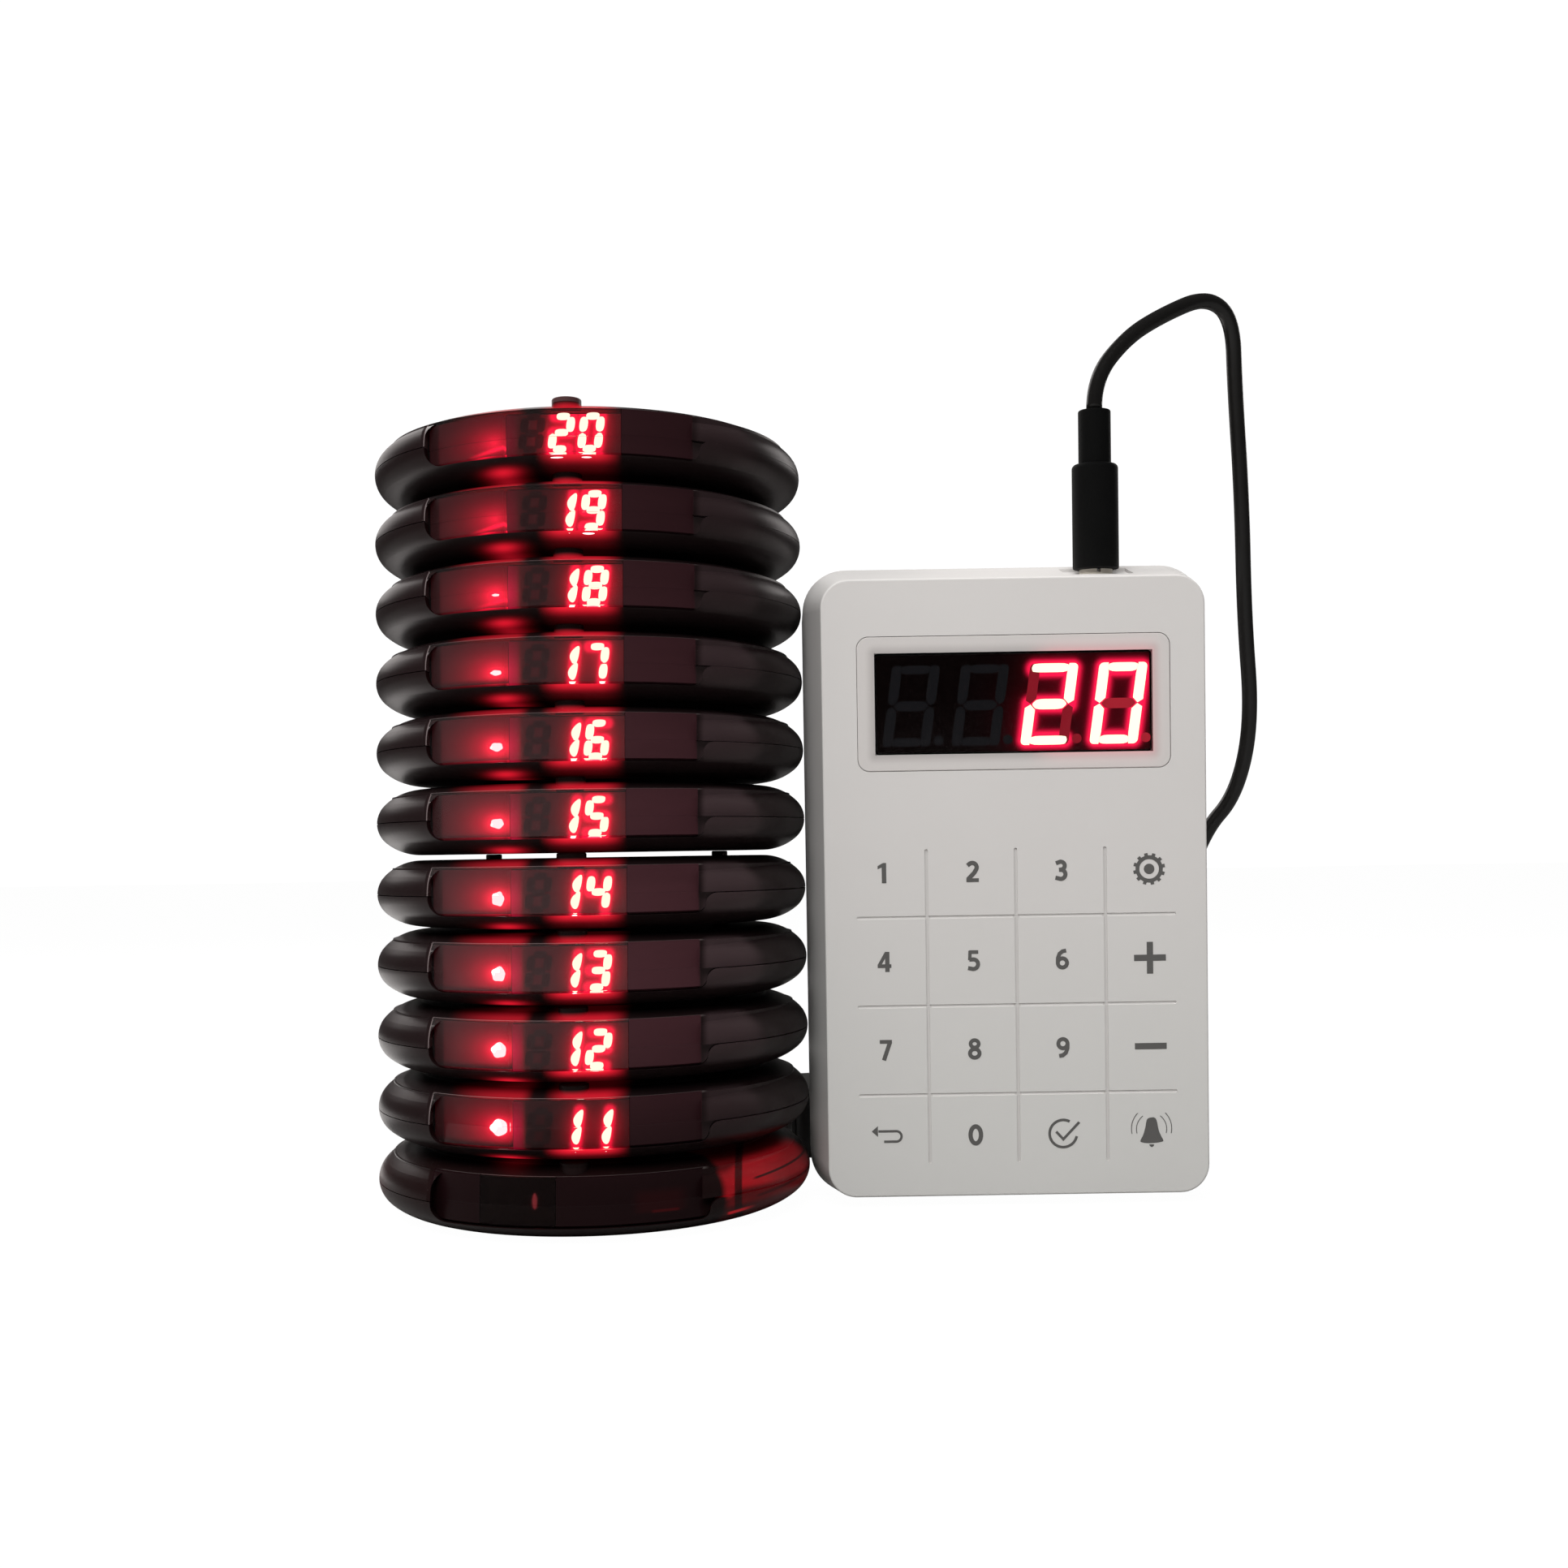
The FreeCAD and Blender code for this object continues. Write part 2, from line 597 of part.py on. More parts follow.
def digit(sk, cx, cz, w, hgt, t, slant):
    """Seven six-cornered segments, leaning to the right."""
    w, hgt = quantity(w), quantity(hgt)
    gap = t * 0.12
    for (ax, az), (bx, bz) in SEG:
        a = ((w - t) * (ax / 2.0), (hgt - t) * (az / 2.0))
        c = ((w - t) * (bx / 2.0), (hgt - t) * (bz / 2.0))
        flat = az == bz
        if flat:
            raw = [(a[0] + gap, a[1]), (a[0] + (gap + t / 2), a[1] - t / 2), (c[0] - (gap + t / 2), c[1] - t / 2), (c[0] - gap, c[1]),
                   (c[0] - (gap + t / 2), c[1] + t / 2), (a[0] + (gap + t / 2), a[1] + t / 2)]
        else:
            raw = [(a[0], a[1] - gap), (a[0] - t / 2, a[1] - (gap + t / 2)), (c[0] - t / 2, c[1] + (gap + t / 2)), (c[0], c[1] + gap),
                   (c[0] + t / 2, c[1] + (gap + t / 2)), (a[0] + t / 2, a[1] - (gap + t / 2))]
        loop(sk, [(cx + x + z * slant, cz + z) for x, z in raw])


led = body("pager_20_led_display")
sk = sketch(led, "XZ_Plane", d("led_front") - d("led_deep"))
rounded(sk, d("led_x") - d("led_w") / 2, d("led_x") + d("led_w") / 2, -d("led_low"), d("led_top"), 0.6)
pad(led, sk, d("led_deep"), "housing")
for k in (-1, 0, 1):
    sk = sketch(led, "XZ_Plane", d("led_front"))
    digit(sk, d("led_x") + d("led_pitch") * k, d("led_digit_z"), d("led_digit_w"), d("led_digit"), 1.1, 0.12)
    pocket(led, sk, 0.3, "digit")
sk = sketch(led, "XZ_Plane", d("led_front") - d("led_deep"))
rect(sk, d("led_x") - 9.5, d("led_x") + 9.5, -3.0, 3.6)
pocket(led, sk, 1.0, "back_recess", Reversed=True)

# ---- circuit board of a pager with what is soldered to it
disc = prim("Cylinder", "board_disc", (0, 0, d("board_z")), Radius=d("board_r"), Height=d("board_t"))
cut = prim("Box", "board_front", (-50, -50, d("board_z") - 1), Length=100, Width=50 - d("board_cut"), Height=d("board_t") + 2)
hole_a = prim("Cylinder", "board_hole_a", (d("pin_xy"), d("pin_xy"), -6), Radius=d("pin_hole_r"), Height=6)
hole_b = prim("Cylinder", "board_hole_b", (-d("pin_xy"), d("pin_xy"), -6), Radius=d("pin_hole_r"), Height=6)
board = boolean("Cut", "board_a", boolean("Cut", "board_b", boolean("Cut", "board_c", disc, cut), hole_a), hole_b)
cell = prim("Box", "cell_block", (-d("cell_w") / 2, -8, d("board_z") + d("board_t")), Length=d("cell_w"), Width=d("cell_d"), Height=d("cell_t"))
doc.recompute()
cell_round = doc.addObject("Part::Fillet", "cell_rounded")
cell_round.Base = cell
cell_round.Edges = [(i + 1, 1.2, 1.2) for i, e in enumerate(cell.Shape.Edges) if e.BoundBox.ZLength < 1e-6 and abs(e.BoundBox.ZMin - (D["board_z"] + D["board_t"] + D["cell_t"])) < 1e-6]
motor = prim("Cylinder", "motor_can", (27, -19, d("board_z") + d("board_t")), Radius=d("motor_r"), Height=d("motor_t"))
motor_rim = prim("Cylinder", "motor_boss", (27, -19, d("board_z") + d("board_t") + d("motor_t")), Radius=2, Height=0.4)
motor_all = boolean("Fuse", "motor", motor, motor_rim)
lamp = prim("Cylinder", "lamp_tube", (d("lamp_x"), d("lamp_y") + d("lamp_r"), d("lamp_z")), FreeCAD.Rotation(V(1, 0, 0), -90),
            Radius=d("lamp_r"), Height=d("lamp_len") - d("lamp_r"))
lamp_tip = prim("Sphere", "lamp_tip", (d("lamp_x"), d("lamp_y") + d("lamp_r"), d("lamp_z")), Radius=d("lamp_r"))
lamp_all = boolean("Fuse", "lamp", lamp, lamp_tip)


def contact(name, side, with_button=True):
    top = prim("Cylinder", name + "_pin", (side * d("pin_xy"), d("pin_xy"), d("board_z") - 0.1), Radius=d("pin_r"),
               Height=d("boss_top") - d("board_z") + 0.1)
    if not with_button:
        low = prim("Cylinder", name + "_collar", (side * d("pin_xy"), d("pin_xy"), d("board_z") + d("board_t") + 0.05), Radius=2.0, Height=1.5)
        return boolean("Fuse", name, top, low)
    low = prim("Cylinder", name + "_button", (side * d("pin_xy"), d("pin_xy"), 0.05 - d("bot_z")), Radius=d("contact_r"),
               Height=d("bot_z") + d("board_z") - 0.1)
    return boolean("Fuse", name, top, low)


board_group = group("pager_20_circuit_board", [board, cell_round, motor_all, lamp_all, contact("contact_l", -1), contact("contact_r", 1)])

# ---- ten pagers, 11 at the bottom to 20 on top
for k in range(20, 10, -1):
    z = d("base_mid") + d("pitch") * (k - 10)
    if k == 20:
        made = [cover, shell, led, board_group]
    else:
        made = [copy_of(cover, "pager_%d_top_cover" % k), copy_of(shell, "pager_%d_bottom_shell" % k), copy_of(led, "pager_%d_led_display" % k)]
        g = group("pager_%d_circuit_board" % k, [board, cell_round, motor_all, lamp_all] + [o for o in board_group.Links[4:]])
        made.append(g)
    for o, part in zip(made, ("top_cover", "bottom_shell", "led_display", "circuit_board")):
        put_at(o, (d("stack_x"), 0, z))
        node(o, "pager_%d_%s" % (k, part))

# ---------------------------------------------------------------- charging base
node(put_at(copy_of(cover, "base_top_cover"), (d("stack_x"), 0, d("base_mid"))), "base_top_cover")
base_shell = copy_of(shell_blank, "base_bottom_shell")
sk = sketch(base_shell, "XZ_Plane", -46)
circle(sk, 0, d("inlet_z"), d("inlet_nose_r") + 0.1)
pocket(base_shell, sk, 12, "inlet_hole")
sk = sketch(base_shell, "XY_Plane", -d("bot_z"))
for sx, sy in ((1, 1), (-1, 1), (-1, -1), (1, -1)):
    circle(sk, sx * d("foot_at") * 0.70711, sy * d("foot_at") * 0.70711, d("foot_r") + 0.15)
pocket(base_shell, sk, 0.5, "foot_seats", Reversed=True)
node(put_at(base_shell, (d("stack_x"), 0, d("base_mid"))), "base_bottom_shell")

feet = []
for n, (sx, sy) in enumerate(((1, 1), (-1, 1), (-1, -1), (1, -1))):
    cone = prim("Cone", "foot_cone_%d" % n, (d("stack_x") + sx * d("foot_at") * 0.70711, sy * d("foot_at") * 0.70711, 0),
                Radius1=d("foot_r") - 0.4, Radius2=d("foot_r"), Height=0.4)
    puck = prim("Cylinder", "foot_puck_%d" % n, (d("stack_x") + sx * d("foot_at") * 0.70711, sy * d("foot_at") * 0.70711, 0.4),
                Radius=d("foot_r"), Height=d("foot_t") + 0.5 - 0.4)
    feet.append(boolean("Fuse", "foot_%d" % n, cone, puck))
node(group("base_feet", feet), "base_feet")

b_disc = prim("Cylinder", "base_board_disc", (0, 0, d("board_z")), Radius=d("board_r"), Height=d("board_t"))
b_cut = prim("Box", "base_board_back", (-6, 36.5, d("board_z") - 1), Length=12, Width=20, Height=d("board_t") + 2)
b_hole_a = prim("Cylinder", "base_board_hole_a", (d("pin_xy"), d("pin_xy"), -6), Radius=d("pin_hole_r"), Height=6)
b_hole_b = prim("Cylinder", "base_board_hole_b", (-d("pin_xy"), d("pin_xy"), -6), Radius=d("pin_hole_r"), Height=6)
b_board = boolean("Cut", "base_board_a", boolean("Cut", "base_board_b", boolean("Cut", "base_board_c", b_disc, b_cut), b_hole_a), b_hole_b)
b_parts = [b_board, contact("base_pin_l", -1, False), contact("base_pin_r", 1, False)]
for n, (lx, ly, lr) in enumerate(((27.0, -33.0, 2.5), (33.5, -25.5, 2.5), (-11.5, -42.4, 1.5))):
    tube = prim("Cylinder", "base_lamp_tube_%d" % n, (lx, ly, d("board_z") + d("board_t")), Radius=lr, Height=3.2)
    tip = prim("Sphere", "base_lamp_tip_%d" % n, (lx, ly, d("board_z") + d("board_t") + 3.2), Radius=lr)
    b_parts.append(boolean("Fuse", "base_lamp_%d" % n, tube, tip))
b_parts.append(prim("Box", "base_regulator", (-14, 10, d("board_z") + d("board_t")), Length=12, Width=9, Height=3))
b_parts.append(prim("Cylinder", "base_capacitor", (10, 14, d("board_z") + d("board_t")), Radius=4, Height=5.5))
node(put_at(group("base_circuit_board", b_parts), (d("stack_x"), 0, d("base_mid"))), "base_circuit_board")

inlet = body("base_dc_jack")
sk = sketch(inlet, "XZ_Plane", -38)
rounded(sk, -3.5, 3.5, -0.2 - d("low_cav_z") + 0.3, -0.3, 0.4)
pad(inlet, sk, 11.2, "case", Reversed=True)
sk = sketch(inlet, "XZ_Plane", -45)
circle(sk, 0, d("inlet_z"), d("inlet_nose_r"))
pad(inlet, sk, 8.6, "nose", Reversed=True)
sk = sketch(inlet, "XZ_Plane", -43)
circle(sk, 0, d("inlet_z"), d("inlet_bore_r"))
circle(sk, 0, d("inlet_z"), d("inlet_pin_r"))
pocket(inlet, sk, 13, "bore")
node(put_at(inlet, (d("stack_x"), 0, d("base_mid"))), "base_dc_jack")

# ---------------------------------------------------------------- keypad, front half
# Local frame of the leaning pieces: x across the face, y up the face, z out of the face.
LEAN = FreeCAD.Rotation(V(1, 0, 0), 90 + D["lean"])
KEY = (d("key_x"), d("key_y"), d("key_z"))
KEY_PLACE = FreeCAD.Placement(V(D["key_x"], D["key_y"], D["key_z"]), LEAN)


def parting(z):
    """Y of the parting plane at height z."""
    s, c = math.sin(D["lean"] * DEG), math.cos(D["lean"] * DEG)
    v = (z - D["key_z"] - D["shell_deep"] * s) / c
    return D["key_y"] - v * s + D["shell_deep"] * c


front = body("keypad_front_shell")
sk = sketch(front, "XY_Plane")
w, hgt, dr = d("face_w") / 2, d("face_len"), d("draft")
rounded(sk, -w, w, 0, hgt, d("face_c"))
sk2 = sketch(front, "XY_Plane", -d("shell_deep"))
rounded(sk2, -w - dr, w + dr, -dr, hgt + dr, d("body_c"))
feature(front, "AdditiveLoft", "drafted_block", sk, True, Sections=[sk2], Ruled=True)
sk = sketch(front, "XY_Plane", -d("wall"))
rounded(sk, 1.7 - w, w - 1.7, 1.7, hgt - 1.7, d("face_c") - 1.7)
sk2 = sketch(front, "XY_Plane", -d("shell_deep"))
rounded(sk2, 2 - w - dr, w + dr - 2, 2 - dr, hgt + dr - 2, d("body_c") - 2)
feature(front, "SubtractiveLoft", "hollow", sk, False, Sections=[sk2], Ruled=True)
fillet(front, d("face_round"), lambda e: abs(e.BoundBox.ZMin) < 1e-5 and abs(e.BoundBox.ZMax) < 1e-5, "face_edge")
sk = sketch(front, "XY_Plane")
rounded(sk, -d("lens_u"), d("lens_u"), d("lens_v0"), d("lens_v1"), d("lens_c"))
pocket(front, sk, d("lens_t"), "lens_recess")
sk = sketch(front, "XY_Plane")
rounded(sk, -d("open_u"), d("open_u"), d("open_v0"), d("open_v1"), 1.0)
pocket(front, sk, d("wall") + 1, "display_opening")
g = d("groove_w") / 2
sk = sketch(front, "XY_Plane")
for u in (-d("col_u"), quantity(0), d("col_u")):
    rounded(sk, u - g, u + g, d("grid_v0"), d("grid_v1"), 0.39)
pocket(front, sk, d("groove_t"), "upright_lines")
sk = sketch(front, "XY_Plane")
for v in ("row_v1", "row_v2", "row_v3"):
    rounded(sk, -d("grid_u"), d("grid_u"), d(v) - g, d(v) + g, 0.39)
pocket(front, sk, d("groove_t"), "level_lines")
# shallow recess in the drafted top wall, with the hole for the power socket
sk = sketch(front, "YZ_Plane", d("jack_u"))
k = d("draft") / d("shell_deep")
loop(sk, [(hgt + k * 4 - d("jack_rec"), -4), (hgt + k * 15 - d("jack_rec"), -15), (hgt + 10, -15), (hgt + 10, -4)])
pocket(front, sk, d("jack_rec_w"), "socket_recess", Midplane=True)
sk = sketch(front, "XZ_Plane", -145)
circle(sk, d("jack_u"), d("jack_n"), d("jack_hole_r"))
pocket(front, sk, 20, "socket_hole")
# four screw posts, square to the counter and not to the leaning face
for sx in (-1, 1):
    for key in ("screw_z0", "screw_z1"):
        z = D[key]
        y0 = parting(z) - 0.4
        y1 = D["key_y"] - (z - D["key_z"]) * math.tan(D["lean"] * DEG) + 1.0
        place = KEY_PLACE.inverse() * FreeCAD.Placement(V(D["key_x"] + sx * D["screw_x"], y1, z), FreeCAD.Rotation(V(1, 0, 0), -90))
        solid_tool(front, "AdditiveCylinder", "post", True, place, Radius=3.5, Height=y0 - y1)
        place = KEY_PLACE.inverse() * FreeCAD.Placement(V(D["key_x"] + sx * D["screw_x"], y0 - 11.0, z), FreeCAD.Rotation(V(1, 0, 0), -90))
        solid_tool(front, "SubtractiveCylinder", "pilot", False, place, Radius=d("screw_r") + 0.05, Height=12.0)
node(put_at(front, KEY, LEAN), "keypad_front_shell")

lens = body("keypad_display_lens")
sk = sketch(lens, "XY_Plane", -d("lens_t"))
e = d("lens_gap")
rounded(sk, e - d("lens_u"), d("lens_u") - e, d("lens_v0") + e, d("lens_v1") - e, d("lens_c") - e)
pad(lens, sk, d("lens_t") - 0.05, "plate")
fillet(lens, 0.25, lambda ed: abs(ed.BoundBox.ZMin + 0.05) < 1e-5 and abs(ed.BoundBox.ZMax + 0.05) < 1e-5, "plate_edge")
node(put_at(lens, KEY, LEAN), "keypad_display_lens")

module = body("keypad_led_display")
sk = sketch(module, "XY_Plane", -d("lens_t") - 0.1)
rounded(sk, -d("mod_u"), d("mod_u"), d("mod_v0"), d("mod_v1"), 0.8)
pad(module, sk, d("mod_t"), "housing", Reversed=True)
for n in range(4):
    sk = sketch(module, "XY_Plane", -d("lens_t") - 0.1)
    cu = d("dig_u0") + d("dig_pitch") * n
    digit(sk, cu, d("dig_v"), d("dig_w"), d("dig_h"), 2.4, 0.14)
    circle(sk, cu + 8.1 - 1.4, d("dig_v") - d("dig_h") / 2 + 1.3, 1.2)
    pocket(module, sk, 0.4, "digit")
node(put_at(module, KEY, LEAN), "keypad_led_display")

# main board: touch springs behind the sixteen keys, transmitter module, buzzer, socket pads
pcb = prim("Box", "key_board", (-d("pcb_u"), d("pcb_v0"), d("pcb_n")), Length=2 * d("pcb_u"), Width=d("pcb_v1") - d("pcb_v0"), Height=d("pcb_t"))
key_parts = [pcb]
top_n = d("pcb_n") + d("pcb_t")
for i, u in enumerate((-32.7, -10.7, 11.25, 32.7)):
    for j, v in enumerate((80.75, 58.7, 36.7, 15.2)):
        outer = prim("Cylinder", "spring_%d_%d" % (i, j), (u, v, top_n), Radius=d("touch_r"), Height=-0.15 - d("wall") - top_n)
        inner = prim("Cylinder", "spring_in_%d_%d" % (i, j), (u, v, top_n + 0.5), Radius=d("touch_r") - 0.6, Height=9)
        key_parts.append(boolean("Cut", "touch_%d_%d" % (i, j), outer, inner))
key_parts.append(prim("Box", "transmitter", (-30, 90, d("pcb_n") - 3.0), Length=26, Width=18, Height=3.0))
key_parts.append(prim("Cylinder", "buzzer", (12, 60, d("pcb_n") - 6.0), Radius=6, Height=6.0))
key_parts.append(prim("Box", "processor", (6, 84, d("pcb_n") - 1.6), Length=12, Width=12, Height=1.6))
node(put_at(group("keypad_circuit_board", key_parts), KEY, LEAN), "keypad_circuit_board")

# power socket in the top wall
jack = body("keypad_dc_jack")
sk = sketch(jack, "XZ_Plane", -139)
rounded(sk, d("jack_u") - 4.5, d("jack_u") + 4.5, d("jack_n") - 5.2, d("jack_n") + 5.2, 0.5)
pad(jack, sk, 12.8, "case", Reversed=True)
sk = sketch(jack, "XZ_Plane", -150)
circle(sk, d("jack_u"), d("jack_n"), d("jack_nose_r"))
pad(jack, sk, d("jack_end") - 150, "nose", Reversed=True)
sk = sketch(jack, "XZ_Plane", -145.6)
circle(sk, d("jack_u"), d("jack_n"), d("jack_bore_r"))
circle(sk, d("jack_u"), d("jack_n"), d("jack_pin_r"))
pocket(jack, sk, 12, "bore")
sk = sketch(jack, "XZ_Plane", -153.4)
circle(sk, d("jack_u"), d("jack_n"), d("jack_pin_r") + 0.1)
pocket(jack, sk, 4, "pin_end")
sk = sketch(jack, "XZ_Plane", -154.7)
rect(sk, d("jack_u") - 0.5, d("jack_u") + 0.5, d("jack_n") - 5, d("jack_n") + 5)
pocket(jack, sk, 2, "nose_slot")
node(put_at(jack, KEY, LEAN), "keypad_dc_jack")

# short rod antenna on the board, behind it
ant = body("keypad_antenna")
sk = sketch(ant, "XZ_Plane", -93)
circle(sk, 26, d("pcb_n") - 4.5, 2.4)
pad(ant, sk, 14, "loading_coil", Reversed=True)
sk = sketch(ant, "XZ_Plane", -100)
circle(sk, 26, d("pcb_n") - 4.5, 0.8)
pad(ant, sk, 45, "rod", Reversed=True)
sk = sketch(ant, "XY_Plane", d("pcb_n") - 5)
rect(sk, 24.8, 27.2, 93.5, 96)
pad(ant, sk, 5, "solder_leg")
node(put_at(ant, KEY, LEAN), "keypad_antenna")

# ---------------------------------------------------------------- keypad, rear half
rear = body("keypad_rear_shell")
hw = d("face_w") / 2 + d("draft")
sk = sketch(rear, "XZ_Plane", -d("back_y"))
rounded(sk, -hw, hw, 0, d("rear_h"), d("body_c"))
pad(rear, sk, 26, "block")
fillet(rear, d("rear_round"), lambda ed: abs(ed.BoundBox.YMin - D["back_y"]) < 1e-5 and abs(ed.BoundBox.YMax - D["back_y"]) < 1e-5, "back_edge")
sk = sketch(rear, "XZ_Plane", d("wall") - d("back_y"))
rounded(sk, 2.1 - hw, hw - 2.1, 2.1, d("rear_h") - 2.1, d("body_c") - 2.1)
pocket(rear, sk, 40, "hollow", Reversed=True)
sk = sketch(rear, "YZ_Plane")
loop(sk, [(parting(-5) + 0.15, -5), (parting(170) + 0.15, 170), (-60, 170), (-60, -5)])
pocket(rear, sk, 140, "parting_cut", Midplane=True)
for sx in (-1, 1):
    for key, floor in (("screw_z0", 8.0), ("screw_z1", 3.0)):
        z = D[key]
        y0 = parting(z) + 0.5
        turn_y = FreeCAD.Rotation(V(1, 0, 0), -90)
        solid_tool(rear, "AdditiveCylinder", "post", True, FreeCAD.Placement(V(sx * D["screw_x"], y0, z), turn_y), Radius=4.6, Height=11.0 - y0)
        solid_tool(rear, "SubtractiveCylinder", "bore", False, FreeCAD.Placement(V(sx * D["screw_x"], y0 - 1, z), turn_y), Radius=d("screw_r") + 0.15, Height=15.0 - y0)
        solid_tool(rear, "SubtractiveCylinder", "counterbore", False, FreeCAD.Placement(V(sx * D["screw_x"], floor, z), turn_y), Radius=d("screw_head") + 0.2, Height=14.0 - floor)
sk = sketch(rear, "XZ_Plane", -d("back_y"))
for sx in (-1, 1):
    for z in (28.0, 133.0):
        circle(sk, sx * d("screw_x"), z, d("pad_r") + 0.15)
pocket(rear, sk, 0.5, "pad_seats", Reversed=True)
node(put_at(rear, (d("key_x"), 0, 0)), "keypad_rear_shell")

screw = body("screw_master")
sk = sketch(screw, "XY_Plane")
circle(sk, 0, 0, d("screw_r"))
pad(screw, sk, d("screw_len"), "shank", Reversed=True)
sk = sketch(screw, "XY_Plane")
circle(sk, 0, 0, d("screw_head"))
pad(screw, sk, 2.0, "head")
fillet(screw, 0.5, lambda ed: abs(ed.BoundBox.ZMin - 2.0) < 1e-5 and abs(ed.BoundBox.ZMax - 2.0) < 1e-5, "head_edge")
sk = sketch(screw, "XY_Plane", 2.0)
loop(sk, [(-1.6, -0.35), (-0.35, -0.35), (-0.35, -1.6), (0.35, -1.6), (0.35, -0.35), (1.6, -0.35),
          (1.6, 0.35), (0.35, 0.35), (0.35, 1.6), (-0.35, 1.6), (-0.35, 0.35), (-1.6, 0.35)])
pocket(screw, sk, 1.2, "cross")
screws = []
for sx in (-1, 1):
    for key, floor in (("screw_z0", 8.0), ("screw_z1", 3.0)):
        c = copy_of(screw, "screw")
        put_at(c, (d("key_x") + sx * d("screw_x"), floor + 0.05, d(key)), FreeCAD.Rotation(V(1, 0, 0), -90))
        screws.append(c)
node(group("keypad_screws", screws), "keypad_screws")

pads = []
for sx in (-1, 1):
    for z in (28.0, 133.0):
        turn_y = FreeCAD.Rotation(V(1, 0, 0), -90)
        at = (d("key_x") + sx * d("screw_x"), d("back_y") - 0.5, z)
        a = prim("Cylinder", "pad_low", at, turn_y, Radius=d("pad_r"), Height=d("pad_t"))
        at = (d("key_x") + sx * d("screw_x"), d("back_y") - 0.5 + d("pad_t"), z)
        c = prim("Cone", "pad_top", at, turn_y, Radius1=d("pad_r"), Radius2=d("pad_r") - 0.5, Height=0.5)
        pads.append(boolean("Fuse", "pad_foot", a, c))
node(group("keypad_feet", pads), "keypad_feet")

# ---------------------------------------------------------------- plug
plug = body("dc_plug")
sk = sketch(plug, "XY_Plane")
v0, v1, v2 = d("plug_v0"), d("plug_v1"), d("plug_v2")
pr, rr = d("plug_r"), d("relief_r")
loop(sk, [(0, v0), (pr - 0.5, v0), (pr, v0 + 0.5), (pr, v1 - 1.2), (pr - 1.2, v1), (rr, v1), (rr, v2 - 0.6), (rr - 0.6, v2), (0, v2)],
     {1: (0.5, 1), 3: (1.2, 1), 6: (0.6, 1)})
turn(plug, sk, "moulding")
node(put_at(plug, (d("key_x") + d("jack_u"), d("key_y") - d("jack_n") * math.cos(D["lean"] * DEG), d("key_z") - d("jack_n") * math.sin(D["lean"] * DEG)), LEAN), "dc_plug")

barrel = body("dc_plug_barrel")
sk = sketch(barrel, "XY_Plane")
loop(sk, [(d("barrel_bore"), v0 - d("barrel_len")), (d("barrel_r") - 0.3, v0 - d("barrel_len")), (d("barrel_r"), v0 - d("barrel_len") + 0.3),
          (d("barrel_r"), v0), (d("barrel_bore"), v0)])
turn(barrel, sk, "sleeve")
node(put_at(barrel, (d("key_x") + d("jack_u"), d("key_y") - d("jack_n") * math.cos(D["lean"] * DEG), d("key_z") - d("jack_n") * math.sin(D["lean"] * DEG)), LEAN), "dc_plug_barrel")
doc.recompute()

# ---------------------------------------------------------------- cord
# The free lead: out of the plug, over in a tight loop, down beside the keypad to the counter
# and back to the wound-up length behind it.
plug_end = plug.Placement.multVec(V(0, D["plug_v2"], 0))
up = plug.Placement.Rotation.multVec(V(0, 1, 0))
ROUTE = [plug_end, plug_end + up * 7.9,
         V(85.3, -20.0, 217.0), V(95.5, -15.5, 224.0), V(107.3, -10.0, 230.4), V(116.0, -6.0, 226.0),
         V(118.3, -1.5, 209.0), V(120.6, 3.0, 181.0), V(121.9, 8.5, 150.0), V(125.2, 14.0, 122.0),
         V(122.8, 19.5, 102.0), V(115.2, 25.0, 91.5), V(109.8, 23.8, 66.0), V(105.3, 18.8, 38.0),
         V(104.2, 18.4, 15.4), V(104.0, 31.0, D["cord_low"]), V(104.0, D["coil_y"] - 14.0, D["cord_low"])]


def route_edges(pts):
    runs = [(pts[i + 1] - pts[i]).Length for i in range(len(pts) - 1)]
    edges, at, length = [], pts[0], 0.0
    for i in range(1, len(pts) - 1):
        a = (pts[i] - pts[i - 1]).normalize()
        c = (pts[i + 1] - pts[i]).normalize()
        bend = math.acos(max(-1.0, min(1.0, a.dot(c))))
        setback = 0.45 * min(runs[i - 1], runs[i])
        radius = setback / math.tan(bend / 2)
        p, q2 = pts[i] - a * setback, pts[i] + c * setback
        inward = (c - a).normalize()
        middle = pts[i] + inward * (radius / math.cos(bend / 2) - radius)
        edges.append(Part.LineSegment(at, p).toShape())
        edges.append(Part.Arc(p, middle, q2).toShape())
        length += (p - at).Length + radius * bend
        at = q2
        print("cord point %2d: run %.1f, turn %.0f degrees, radius %.1f" % (i, runs[i], bend / DEG, radius))
    edges.append(Part.LineSegment(at, pts[-1]).toShape())
    return edges, length + (pts[-1] - at).Length


edges, cord_length = route_edges(ROUTE)
path = Part.Wire(edges)
section = Part.Wire([Part.Circle(ROUTE[0], up, D["cord_r"]).toShape()])
tube = path.makePipeShell([section], True, False)
expected = math.pi * D["cord_r"] ** 2 * cord_length
print("cord tube: %.1f mm, volume %.1f of %.1f mm3" % (cord_length, tube.Volume, expected))
if abs(tube.Volume / expected - 1) > 0.01:
    raise RuntimeError("the cord's tube has the wrong volume")
cord = doc.addObject("Part::Feature", "power_cord")
cord.Shape = tube
node(cord, "power_cord")

